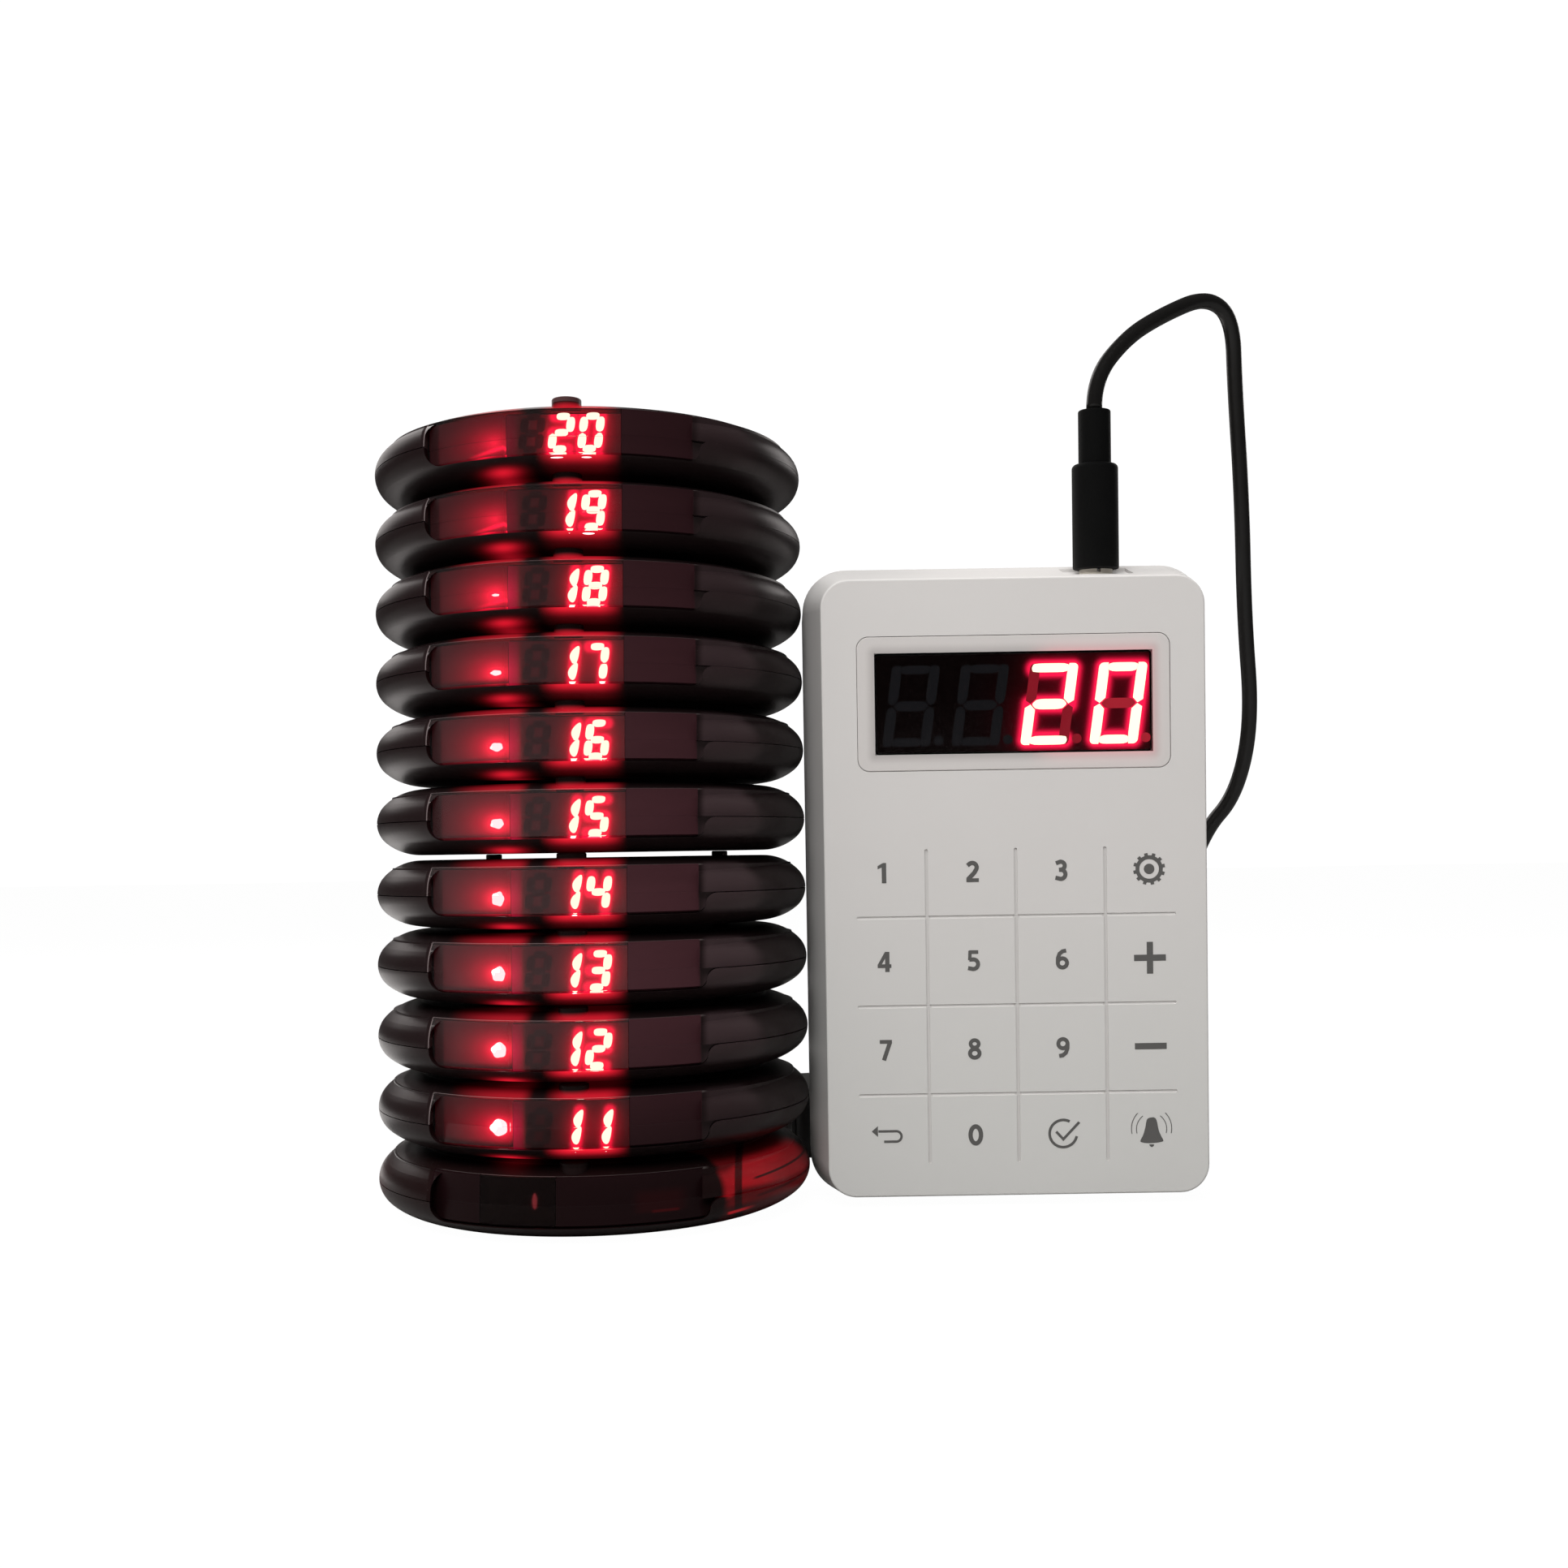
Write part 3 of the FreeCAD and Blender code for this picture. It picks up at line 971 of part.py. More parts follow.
# the wound-up length, one closed ring with the two stubs where the cord enters and leaves it
low = 0.2
ring_out = prim("Cylinder", "ring_out", (d("coil_x"), d("coil_y"), low), Radius=d("coil_out"), Height=d("coil_t"))
ring_in = prim("Cylinder", "ring_in", (d("coil_x"), d("coil_y"), low - 1), Radius=d("coil_in"), Height=d("coil_t") + 2)
ring = boolean("Cut", "ring", ring_out, ring_in)
stub_in = prim("Cylinder", "stub_in", (d("coil_x") + d("coil_turn"), d("coil_y") - 14.0, d("cord_low")), FreeCAD.Rotation(V(1, 0, 0), -90), Radius=d("cord_r"), Height=14)
turned = D["ad_turn"] * DEG
leave = (D["coil_x"] - D["coil_turn"] * math.sin(turned), D["coil_y"] + D["coil_turn"] * math.cos(turned), 10.0)
away = V(-math.cos(turned), -math.sin(turned), 0)
stub_out = prim("Cylinder", "stub_out", leave, FreeCAD.Rotation(V(0, 0, 1), away), Radius=d("cord_r"), Height=d("coil_tail"))
node(boolean("Fuse", "power_cord_coil", boolean("Fuse", "ring_with_stub", ring, stub_in), stub_out), "power_cord_coil")

# ---------------------------------------------------------------- plug-in adapter
nose_tip = V(*leave) + away * D["coil_tail"]
centre = nose_tip + away * (D["ad_nose"] + D["ad_len"] / 2)
AD_PLACE = (centre.x, centre.y, 0)
AD_ROT = FreeCAD.Rotation(V(0, 0, 1), D["ad_turn"])
ad = body("power_adapter")
sk = sketch(ad, "XY_Plane", 0.0)
rounded(sk, -d("ad_len") / 2, d("ad_len") / 2, -d("ad_w") / 2, d("ad_w") / 2, 5.0)
pad(ad, sk, d("ad_t"), "case")
fillet(ad, 2.0, lambda ed: ed.BoundBox.ZLength < 1e-5, "case_edges")
sk = sketch(ad, "XZ_Plane")
half = d("ad_len") / 2
mid = d("ad_t") / 2
sk.addGeometry(Part.LineSegment(V(0, D["ad_t"] / 2, 0), V(30, D["ad_t"] / 2, 0)), True)
todo = []
hold_point(sk, 0, 1, 0, mid, todo)
hold_point(sk, 0, 2, 30, mid, todo)
lay_down(sk, todo)
loop(sk, [(half - 4, mid), (half - 4, mid + 5), (half + 2, mid + 5), (half + 3, mid + 4.4), (half + d("ad_nose"), mid + 2.7), (half + d("ad_nose"), mid)])
turn(ad, sk, "strain_relief", axis="Axis0")
sk = sketch(ad, "YZ_Plane", -half)
rounded(sk, -15, 15, mid - 7, mid + 7, 2.0)
pad(ad, sk, 1.0, "pin_plate", Reversed=True)
node(put_at(ad, AD_PLACE, AD_ROT), "power_adapter")

blades = []
for sy in (-1, 1):
    bl = body("blade")
    sk = sketch(bl, "XZ_Plane", sy * d("blade_gap") / 2 - d("blade_t") / 2)
    x1 = -half - 1.0
    x0 = x1 - d("blade_len")
    loop(sk, [(x0, mid - d("blade_w") / 2 + 1.5), (x0 + 1.5, mid - d("blade_w") / 2), (x1, mid - d("blade_w") / 2), (x1, mid + d("blade_w") / 2),
              (x0 + 1.5, mid + d("blade_w") / 2), (x0, mid + d("blade_w") / 2 - 1.5)])
    circle(sk, x0 + 3.5, mid, 1.5)
    pad(bl, sk, d("blade_t"), "blade")
    put_at(bl, AD_PLACE, AD_ROT)
    blades.append(bl)
node(group("adapter_pins", blades), "adapter_pins")

# ---------------------------------------------------------------- checks and export
doc.recompute()
bad = [o.Name for o in doc.Objects if {"Invalid", "Error"} & set(o.State)]
if bad:
    raise RuntimeError("failed objects: %s" % bad)
labels = [o.Label for o in NODES]
if len(labels) != len(set(labels)) or len(labels) > 60:
    raise RuntimeError("%d nodes, %d different names" % (len(labels), len(set(labels))))
for o in NODES:
    if o.Shape.isNull() or not o.Shape.isValid() or not o.Shape.Solids:
        raise RuntimeError("%s has no valid solid" % o.Label)
for name in os.listdir("parts"):
    if name.endswith(".step") and name[:-5] not in labels:
        os.remove(os.path.join("parts", name))
for o in NODES:
    o.Shape.exportStep("parts/%s.step" % o.Label)
    bb = o.Shape.optimalBoundingBox(False, False)
    print("%-24s solids %2d  x %7.2f..%7.2f  y %7.2f..%7.2f  z %7.2f..%7.2f" % (
        o.Label, len(o.Shape.Solids), bb.XMin, bb.XMax, bb.YMin, bb.YMax, bb.ZMin, bb.ZMax))
print("%d nodes" % len(NODES))
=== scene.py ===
import math

import bmesh
import bpy
import numpy as np
from mathutils import Matrix, Vector


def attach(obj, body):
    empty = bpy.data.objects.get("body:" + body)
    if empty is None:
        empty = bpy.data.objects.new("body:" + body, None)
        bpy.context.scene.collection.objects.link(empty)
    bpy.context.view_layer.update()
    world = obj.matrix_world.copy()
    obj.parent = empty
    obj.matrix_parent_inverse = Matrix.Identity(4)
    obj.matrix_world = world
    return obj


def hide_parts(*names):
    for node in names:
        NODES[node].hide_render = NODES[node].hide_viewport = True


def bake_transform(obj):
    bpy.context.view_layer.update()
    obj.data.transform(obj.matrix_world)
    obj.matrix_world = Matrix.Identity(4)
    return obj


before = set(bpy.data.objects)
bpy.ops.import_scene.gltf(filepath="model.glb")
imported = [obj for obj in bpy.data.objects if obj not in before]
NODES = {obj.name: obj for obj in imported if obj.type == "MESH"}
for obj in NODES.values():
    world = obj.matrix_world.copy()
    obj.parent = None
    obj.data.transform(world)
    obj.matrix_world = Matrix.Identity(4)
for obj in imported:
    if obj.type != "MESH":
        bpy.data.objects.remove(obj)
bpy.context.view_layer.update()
MM = 0.001

# ------------------------------------------------------------------ camera
pitch, roll = 0.0395, -0.016
cam_data = bpy.data.cameras.new("camera")
cam_data.lens = 38.8464
cam_data.sensor_width = 36.0
cam_data.sensor_fit = "HORIZONTAL"
cam_data.clip_start = 0.01
cam_data.clip_end = 60.0
cam = bpy.data.objects.new("camera", cam_data)
bpy.context.scene.collection.objects.link(cam)
fwd = Vector((0, math.cos(pitch), math.sin(pitch)))
up0 = Vector((0, -math.sin(pitch), math.cos(pitch)))
right = Vector((1, 0, 0)) * math.cos(roll) + up0 * math.sin(roll)
up = Vector((-1, 0, 0)) * math.sin(roll) + up0 * math.cos(roll)
cam.matrix_world = Matrix((
    (right.x, up.x, -fwd.x, -0.00181),
    (right.y, up.y, -fwd.y, -0.44170),
    (right.z, up.z, -fwd.z, 0.08924),
    (0, 0, 0, 1)))
bpy.context.scene.camera = cam
bpy.context.scene.view_settings.view_transform = "Standard"
bpy.context.scene.view_settings.look = "None"


# ------------------------------------------------------------------ material helpers
class Mat:
    """A Principled material and short calls for its nodes. Lengths in its maths are millimetres."""

    def __init__(self, name):
        self.m = bpy.data.materials.new(name)
        self.m.use_nodes = True
        self.nt = self.m.node_tree
        self.b = self.nt.nodes["Principled BSDF"]
        tc = self.nt.nodes.new("ShaderNodeTexCoord")
        self.obj = tc.outputs["Object"]
        self._xyz = None

    def xyz(self):
        if self._xyz is None:
            sc = self.nt.nodes.new("ShaderNodeVectorMath")
            sc.operation = "SCALE"
            sc.inputs["Scale"].default_value = 1000.0
            self.nt.links.new(self.obj, sc.inputs[0])
            sep = self.nt.nodes.new("ShaderNodeSeparateXYZ")
            self.nt.links.new(sc.outputs[0], sep.inputs[0])
            self._xyz = (sep.outputs[0], sep.outputs[1], sep.outputs[2])
        return self._xyz

    def op(self, kind, a, b=None, c=None, clamp=False):
        n = self.nt.nodes.new("ShaderNodeMath")
        n.operation = kind
        n.use_clamp = clamp
        for i, v in enumerate((a, b, c)):
            if v is None:
                continue
            if isinstance(v, (int, float)):
                n.inputs[i].default_value = v
            else:
                self.nt.links.new(v, n.inputs[i])
        return n.outputs[0]

    def step(self, x, lo, hi):
        """0 below lo, 1 above hi, smooth between; lo may be above hi for the reverse."""
        n = self.nt.nodes.new("ShaderNodeMapRange")
        n.interpolation_type = "SMOOTHSTEP"
        self.nt.links.new(x, n.inputs["Value"])
        if lo <= hi:
            n.inputs["From Min"].default_value = lo
            n.inputs["From Max"].default_value = hi
        else:
            n.inputs["From Min"].default_value = hi
            n.inputs["From Max"].default_value = lo
            n.inputs["To Min"].default_value = 1.0
            n.inputs["To Max"].default_value = 0.0
        return n.outputs["Result"]

    def mul(self, *items):
        out = items[0]
        for v in items[1:]:
            out = self.op("MULTIPLY", out, v)
        return out

    def add(self, *items):
        out = items[0]
        for v in items[1:]:
            out = self.op("ADD", out, v)
        return out

    def mix(self, f, a, b):
        n = self.nt.nodes.new("ShaderNodeMix")
        n.data_type = "RGBA"
        if isinstance(f, (int, float)):
            n.inputs[0].default_value = f
        else:
            self.nt.links.new(f, n.inputs[0])
        for i, v in ((6, a), (7, b)):
            if isinstance(v, tuple):
                n.inputs[i].default_value = (v + (1.0,))[:4]
            else:
                self.nt.links.new(v, n.inputs[i])
        return n.outputs[2]

    def mixf(self, f, a, b):
        n = self.nt.nodes.new("ShaderNodeMix")
        n.data_type = "FLOAT"
        self.nt.links.new(f, n.inputs[0])
        for i, v in ((2, a), (3, b)):
            if isinstance(v, (int, float)):
                n.inputs[i].default_value = v
            else:
                self.nt.links.new(v, n.inputs[i])
        return n.outputs[0]

    def noise(self, scale, detail=2.0, stretch=None, rough=0.5):
        n = self.nt.nodes.new("ShaderNodeTexNoise")
        n.inputs["Scale"].default_value = scale
        n.inputs["Detail"].default_value = detail
        n.inputs["Roughness"].default_value = rough
        src = self.obj
        if stretch:
            mp = self.nt.nodes.new("ShaderNodeMapping")
            mp.inputs["Scale"].default_value = stretch
            self.nt.links.new(src, mp.inputs[0])
            src = mp.outputs[0]
        self.nt.links.new(src, n.inputs["Vector"])
        return n.outputs["Fac"]

    def cells(self, scale):
        n = self.nt.nodes.new("ShaderNodeTexVoronoi")
        n.inputs["Scale"].default_value = scale
        self.nt.links.new(self.obj, n.inputs["Vector"])
        return n.outputs["Distance"]

    def bump(self, height, distance, strength=1.0):
        n = self.nt.nodes.new("ShaderNodeBump")
        n.inputs["Distance"].default_value = distance
        n.inputs["Strength"].default_value = strength
        self.nt.links.new(height, n.inputs["Height"])
        self.nt.links.new(n.outputs[0], self.b.inputs["Normal"])

    def set(self, name, value):
        s = self.b.inputs[name]
        if isinstance(value, (int, float)):
            s.default_value = value
        elif isinstance(value, tuple):
            s.default_value = (value + (1.0,))[:4]
        else:
            self.nt.links.new(value, s)
        return self


def local_z(m):
    """Height above the parting plane of the disc that a point is in."""
    z = m.xyz()[2]
    return m.op("SUBTRACT", m.op("MODULO", m.op("ADD", z, 0.2), 17.8), 8.9)


def mat_smoked(name, cover, base=False):
    m = Mat(name)
    x0, y, z = m.xyz()
    x = m.op("ADD", x0, 51.65)
    zl = local_z(m)
    grain = m.noise(5200, 3.0)
    cloud = m.noise(60, 3.0)
    dust = m.step(m.cells(420), 0.045, 0.03)
    front = m.step(y, -30.0, -34.0)
    if base:
        rim_col = m.mix(cloud, (0.0060, 0.0026, 0.0027), (0.0095, 0.0042, 0.0043))
    else:
        rim_col = m.mix(cloud, (0.0068, 0.0036, 0.0038), (0.0104, 0.0060, 0.0064))
    rim_col = m.mix(m.mul(dust, 0.35), rim_col, (0.16, 0.14, 0.13))
    if cover:
        # painted shade: the bosses between the discs are painted near black, except at the top of the stack
        boss_shade = m.mul(m.op("MAXIMUM", m.step(zl, 8.42, 8.5), m.step(zl, -7.9, -8.0)), m.step(z, 194.0, 192.0))
        rim_col = m.mix(boss_shade, rim_col, (0.004, 0.0015, 0.0015))
        if not base:
            # painted light: the top face of the top disc is painted a paler reddish grey
            rim_col = m.mix(m.step(z, 195.15, 195.25), rim_col, (0.060, 0.030, 0.031))
        rad = m.op("SQRT", m.add(m.mul(x, x), m.mul(y, y)))
        # painted highlight: a pale ring along the edge of each disc's flat top
        edge = m.mul(m.step(rad, 43.55, 43.9), m.step(rad, 44.55, 44.2), m.step(zl, 8.0, 8.2))
        # painted highlight: a pale line along the top edge of each window
        lip_highlight = m.mul(m.step(zl, 6.3, 6.45), m.step(zl, 6.75, 6.62), front, m.step(x, -34.0, -31.0), m.step(x, 31.0, 28.0))
        rim_col = m.mix(m.mul(edge, 0.35), rim_col, (0.30, 0.27, 0.26))
        rim_col = m.mix(m.mul(lip_highlight, 0.5), rim_col, (0.30, 0.26, 0.25))
    rim_rough = m.add(0.29, m.mul(grain, 0.09), m.mul(cloud, 0.06))
    m.set("IOR", 1.25 if base else 1.27)
    m.set("Specular Tint", (1.0, 0.80, 0.80))
    if cover:
        win = m.mul(front, m.step(x, -34.8, -34.3), m.step(x, 29.6, 29.2), m.step(zl, 6.75, 6.6), m.step(zl, -5.4, -5.2))
        smear = m.noise(35, 4.0, (1, 1, 5))
        tinted = m.mul(win, m.step(x, 13.10, 13.04))
        clear = m.mul(win, m.step(x, 13.20, 13.12))
        if base:
            # only the middle of the base's window is clear
            tinted = m.mul(win, m.step(x, -22.0, -21.9), m.step(x, -3.9, -4.0))
            clear = m.mul(win, m.step(x, -22.15, -22.05), m.step(x, -3.75, -3.85))
        # painted sheen: the part of the window beside the clear part is painted a paler, greyer colour and the clear
        # part lets a little less light through, both strongest half way up the stack
        window_sheen = m.mul(m.add(0.34, m.mul(m.step(z, 190.0, 65.0), 0.66)), m.add(0.10, m.mul(m.step(z, 8.0, 62.0), 0.90)))
        window_sheen = m.mul(window_sheen, m.add(0.82, m.mul(smear, 0.36)))
        sheen_col = m.mix(window_sheen, (0.0012, 0.0003, 0.0003), (0.047, 0.0170, 0.0210))
        if not base:
            # right of the window the plastic is thinner; it is painted a little paler there, with the same height
            # gradient as the window's painted sheen
            flat = m.mul(front, m.step(x, 29.5, 31.5), m.step(x, 50.0, 39.0), m.step(zl, -5.5, -3.5), m.step(zl, 7.6, 6.2))
            rim_col = m.mix(m.mul(flat, window_sheen), rim_col, (0.040, 0.0255, 0.0275))
        rim_col = m.mix(win, rim_col, sheen_col)
        col = m.mix(tinted, rim_col, (0.30, 0.19, 0.19) if base else (0.44, 0.36, 0.36))
        m.set("Base Color", col)
        endl = m.mul(front, m.step(x, -35.8, -35.2), m.step(x, -33.9, -34.3))
        rim_rough = m.mixf(endl, rim_rough, 0.9)
        if base:
            m.set("Roughness", m.mixf(clear, rim_rough, m.add(0.26, m.mul(smear, 0.10))))
        else:
            m.set("Roughness", m.mixf(clear, rim_rough, m.add(0.002, m.mul(smear, 0.005))))
        m.set("Transmission Weight", m.mul(clear, m.op("SUBTRACT", 1.0, m.mul(window_sheen, 0.05))))
    else:
        if not base:
            # painted sheen: right of the window the shell is painted a little paler, strongest half way up the stack
            haze = m.mul(m.add(0.34, m.mul(m.step(z, 190.0, 65.0), 0.66)), m.add(0.10, m.mul(m.step(z, 8.0, 62.0), 0.90)))
            flat = m.mul(front, m.step(x, 29.5, 31.5), m.step(x, 50.0, 39.0), m.step(zl, -5.5, -3.5))
            rim_col = m.mix(m.mul(flat, haze), rim_col, (0.040, 0.0255, 0.0275))
        m.set("Base Color", rim_col)
        m.set("Roughness", rim_rough)
    fine = m.add(m.mul(grain, 0.5), m.mul(m.noise(900, 2.0), 0.5))
    if cover and not base:
        # the window is polished, the rest has a fine grain
        fine = m.mul(fine, m.op("SUBTRACT", 1.0, clear))
    m.bump(fine, 0.00002, 0.35)
    # red light from the lamps that the tinted plastic scatters
    if not base:
        dig = m.mul(m.step(x, -7.0, 0.0), m.step(x, 13.5, 7.0))
        lamp = m.mul(m.step(x, -31.0, -16.0), m.step(x, -9.0, -12.5))
        if cover:
            up_band = m.mul(m.step(zl, 6.4, 6.7), m.step(zl, 8.6, 7.0))
            # painted light: a faint pale glow lifts the shaded nook below the right end of the window
            nook_fill_light = m.mul(m.step(x, 29.2, 29.5), m.step(x, 34.2, 33.4), m.step(zl, -0.02, -0.08), 0.0075)
            e = m.add(m.mul(dig, up_band, 0.54), m.mul(lamp, up_band, 0.34))
        else:
            lip = m.op("POWER", m.step(zl, -7.6, -4.6), 2.0)
            sx = m.op("DIVIDE", m.op("SUBTRACT", x, -15.2), 3.6)
            sz = m.op("DIVIDE", m.op("SUBTRACT", zl, -7.35), 0.75)
            spot = m.op("POWER", 2.718, m.mul(m.add(m.mul(sx, sx), m.mul(sz, sz)), -1.0))
            under = m.mul(dig, m.add(m.mul(lip, 0.86), m.mul(m.step(zl, -8.4, -7.0), 0.05)))
            e = m.add(under, m.mul(spot, 0.68))
        e = m.mul(e, front)
        glow_col = m.mix(e, (0, 0, 0), (1.0, 0.012, 0.035))
        if cover:
            # painted light: the nook's faint pale glow
            glow_col = m.mix(m.mul(nook_fill_light, front), glow_col, (1.0, 0.72, 0.72))
        m.set("Emission Color", glow_col)
        m.set("Emission Strength", 1.0)
    else:
        ang = m.op("ARCTAN2", y, x)
        side = m.mul(m.step(ang, -0.90, -0.855), m.step(ang, -0.02, -0.30))
        bow = m.add(zl, m.mul(m.step(x, 39.0, 34.0), 1.6))
        hi = m.mul(m.step(bow, 0.1, 1.5), m.step(bow, 7.6, 5.6), m.add(0.22, m.mul(m.step(x, 54.5, 40.0), 0.78)))
        mid = m.mul(m.step(zl, -3.4, -1.8), m.step(zl, 7.8, 6.6))
        fall = m.add(m.mul(hi, 0.18), m.mul(mid, 0.042), m.mul(m.step(zl, -8.5, -2.0), m.step(zl, 9.0, 6.0), 0.022))
        streak = m.add(0.45, m.mul(m.noise(70, 2.0, (1, 1, 5)), 1.0))
        wall = m.op("SUBTRACT", 1.0, m.mul(m.step(x, 36.5, 36.9), m.step(x, 38.6, 38.2), 0.85))
        tilt = m.op("SUBTRACT", zl, m.mul(m.op("SUBTRACT", x, 45.0), 0.10))
        slit = m.op("SUBTRACT", 1.0, m.mul(m.step(tilt, 2.6, 2.85), m.step(tilt, 3.35, 3.1), m.step(x, 40.5, 42.0), 0.92))
        slit2 = m.op("SUBTRACT", 1.0, m.mul(m.step(tilt, -1.5, -1.3), m.step(tilt, -0.5, -0.9), m.step(x, 41.0, 43.0), 0.6))
        e = m.mul(side, fall, streak, wall, slit, slit2)
        hook = m.mul(m.step(x, 34.6, 35.6), m.step(x, 42.0, 37.0), m.step(tilt, -4.1, -3.7), m.step(tilt, -2.9, -3.3))
        mark = m.mul(front, m.step(x, 17.5, 18.5), m.step(x, 24.5, 23.5), m.step(zl, -2.3, -2.0), m.step(zl, -1.4, -1.7))
        patch = m.mul(front, m.step(x, 13.0, 16.0), m.step(x, 27.0, 23.0), m.step(zl, -2.5, -1.5), m.step(zl, 4.0, 1.5))
        e = m.add(e, m.mul(mark, 0.022), m.mul(patch, 0.006), m.mul(hook, 0.28), m.mul(m.step(ang, -2.55, -2.9), m.step(zl, -6.0, 0.0), m.step(zl, 7.0, 1.0), 0.018))
        m.set("Emission Color", m.mix(e, (0, 0, 0), (1.0, 0.015, 0.03)))
        m.set("Emission Strength", 1.0)
    return m.m


def mat_plain(name, lo, hi, rough, spread=0.06, grain_scale=4000, depth=0.00002, strength=0.3, metallic=0.0, ior=1.47, coat=0.0, cloud_scale=80):
    """Moulded or metal surface: two close tones, a roughness that varies and a fine grain."""
    m = Mat(name)
    cloud = m.noise(cloud_scale, 3.0)
    grain = m.noise(grain_scale, 2.0)
    m.set("Base Color", m.mix(cloud, lo, hi))
    m.set("Roughness", m.add(rough, m.mul(grain, spread), m.mul(cloud, spread * 0.5)))
    m.set("Metallic", metallic)
    m.set("IOR", ior)
    m.set("Coat Weight", coat)
    m.bump(grain, depth, strength)
    return m.m


def mat_light(name):
    """Surface that glows with the colour stored on its mesh."""
    m = Mat(name)
    a = m.nt.nodes.new("ShaderNodeAttribute")
    a.attribute_name = "glow"
    grain = m.noise(2500, 2.0)
    m.set("Base Color", m.mix(grain, (0.0025, 0.0012, 0.0012), (0.0045, 0.0022, 0.0022)))
    m.set("Roughness", m.add(0.25, m.mul(grain, 0.1)))
    m.set("IOR", 1.12)
    m.set("Emission Color", a.outputs["Color"])
    m.set("Emission Strength", 1.0)
    return m.m


def mat_emit(name, colour, strength, tint):
    m = Mat(name)
    soft = m.noise(1500, 1.0)
    m.set("Base Color", m.mix(soft, tint, tuple(c * 0.8 for c in tint)))
    m.set("Roughness", 0.4)
    m.set("Emission Color", m.mix(soft, colour, tuple(c * 0.96 for c in colour)))
    m.set("Emission Strength", strength)
    return m.m


M_COVER = mat_smoked("smoked_cover", True)
M_SHELL = mat_smoked("smoked_shell", False)
M_COVER_BASE = mat_smoked("smoked_cover_base", True, True)
M_SHELL_BASE = mat_smoked("smoked_shell_base", False, True)
M_MODULE = mat_plain("led_module_body", (0.010, 0.006, 0.006), (0.016, 0.009, 0.009), 0.3)
M_BOARD = mat_plain("board_mask", (0.006, 0.020, 0.010), (0.012, 0.034, 0.016), 0.45, cloud_scale=300)
M_RUBBER = mat_plain("rubber", (0.022, 0.021, 0.021), (0.034, 0.033, 0.032), 0.62, 0.1, 2500, 0.00004, 0.5)
M_SOCKET = mat_plain("socket_black", (0.018, 0.018, 0.018), (0.028, 0.028, 0.028), 0.5)
M_SOCKET_PALE = mat_plain("socket_pale", (0.60, 0.56, 0.48), (0.70, 0.66, 0.58), 0.45)
M_PLUG = mat_plain("plug_black", (0.0022, 0.0023, 0.0023), (0.0042, 0.0043, 0.0043), 0.55, 0.12, 2200, 0.00005, 0.5, ior=1.24)
M_METAL = mat_plain("contact_metal", (0.62, 0.61, 0.58), (0.78, 0.77, 0.74), 0.18, 0.12, 1500, 0.00001, 0.3, metallic=1.0)
M_SCREW = mat_plain("screw_steel", (0.50, 0.50, 0.50), (0.64, 0.64, 0.63), 0.3, 0.15, 900, 0.00002, 0.4, metallic=1.0)
M_ANT = mat_plain("antenna_metal", (0.62, 0.46, 0.20), (0.75, 0.58, 0.30), 0.3, 0.1, 1200, 0.00001, 0.3, metallic=1.0)
M_ADAPT = mat_plain("adapter_black", (0.014, 0.014, 0.014), (0.024, 0.024, 0.024), 0.38, 0.14, 1800, 0.00006, 0.6)
M_CORD = mat_plain("cord_black", (0.0042, 0.0040, 0.0038), (0.0075, 0.0071, 0.0068), 0.25, 0.06, 1500, 0.00001, 0.12)
M_INK = mat_plain("key_ink", (0.085, 0.083, 0.080), (0.105, 0.102, 0.098), 0.5)
M_FILM = mat_light("display_film")
M_LIT_PAGER = mat_emit("lit_segment_pager", (1.0, 0.88, 0.68), 3.6, (0.6, 0.5, 0.4))
M_LIT_KEY = mat_emit("lit_segment_keypad", (1.0, 0.965, 0.70), 1.32, (0.6, 0.5, 0.4))
M_GLINT = mat_emit("window_glint", (1.0, 0.76, 0.78), 1.9, (0.5, 0.2, 0.2))
M_GLINT_DIM = mat_emit("window_glint_dim", (1.0, 0.10, 0.20), 0.9, (0.4, 0.1, 0.1))
M_LAMP = mat_emit("indicator_lamp", (1.0, 0.72, 0.74), 3.6, (0.6, 0.4, 0.4))

# keypad plane: origin, across, along, out
KO = Vector((55.15, -17.0, 2.795)) * MM
CA, SA = math.cos(math.radians(4)), math.sin(math.radians(4))
KU, KV, KN = Vector((1, 0, 0)), Vector((0, -SA, CA)), Vector((0, -CA, -SA))


def kp(u, v, n=0.0):
    return KO + (KU * u + KV * v + KN * n) * MM


def keypad_uv(m):
    x, y, z = m.xyz()
    u = m.op("SUBTRACT", x, 55.15)
    yy, zz = m.op("ADD", y, 17.0), m.op("SUBTRACT", z, 2.795)
    v = m.op("SUBTRACT", m.mul(zz, CA), m.mul(yy, SA))
    n = m.op("SUBTRACT", m.mul(yy, -CA), m.mul(zz, SA))
    return u, v, n


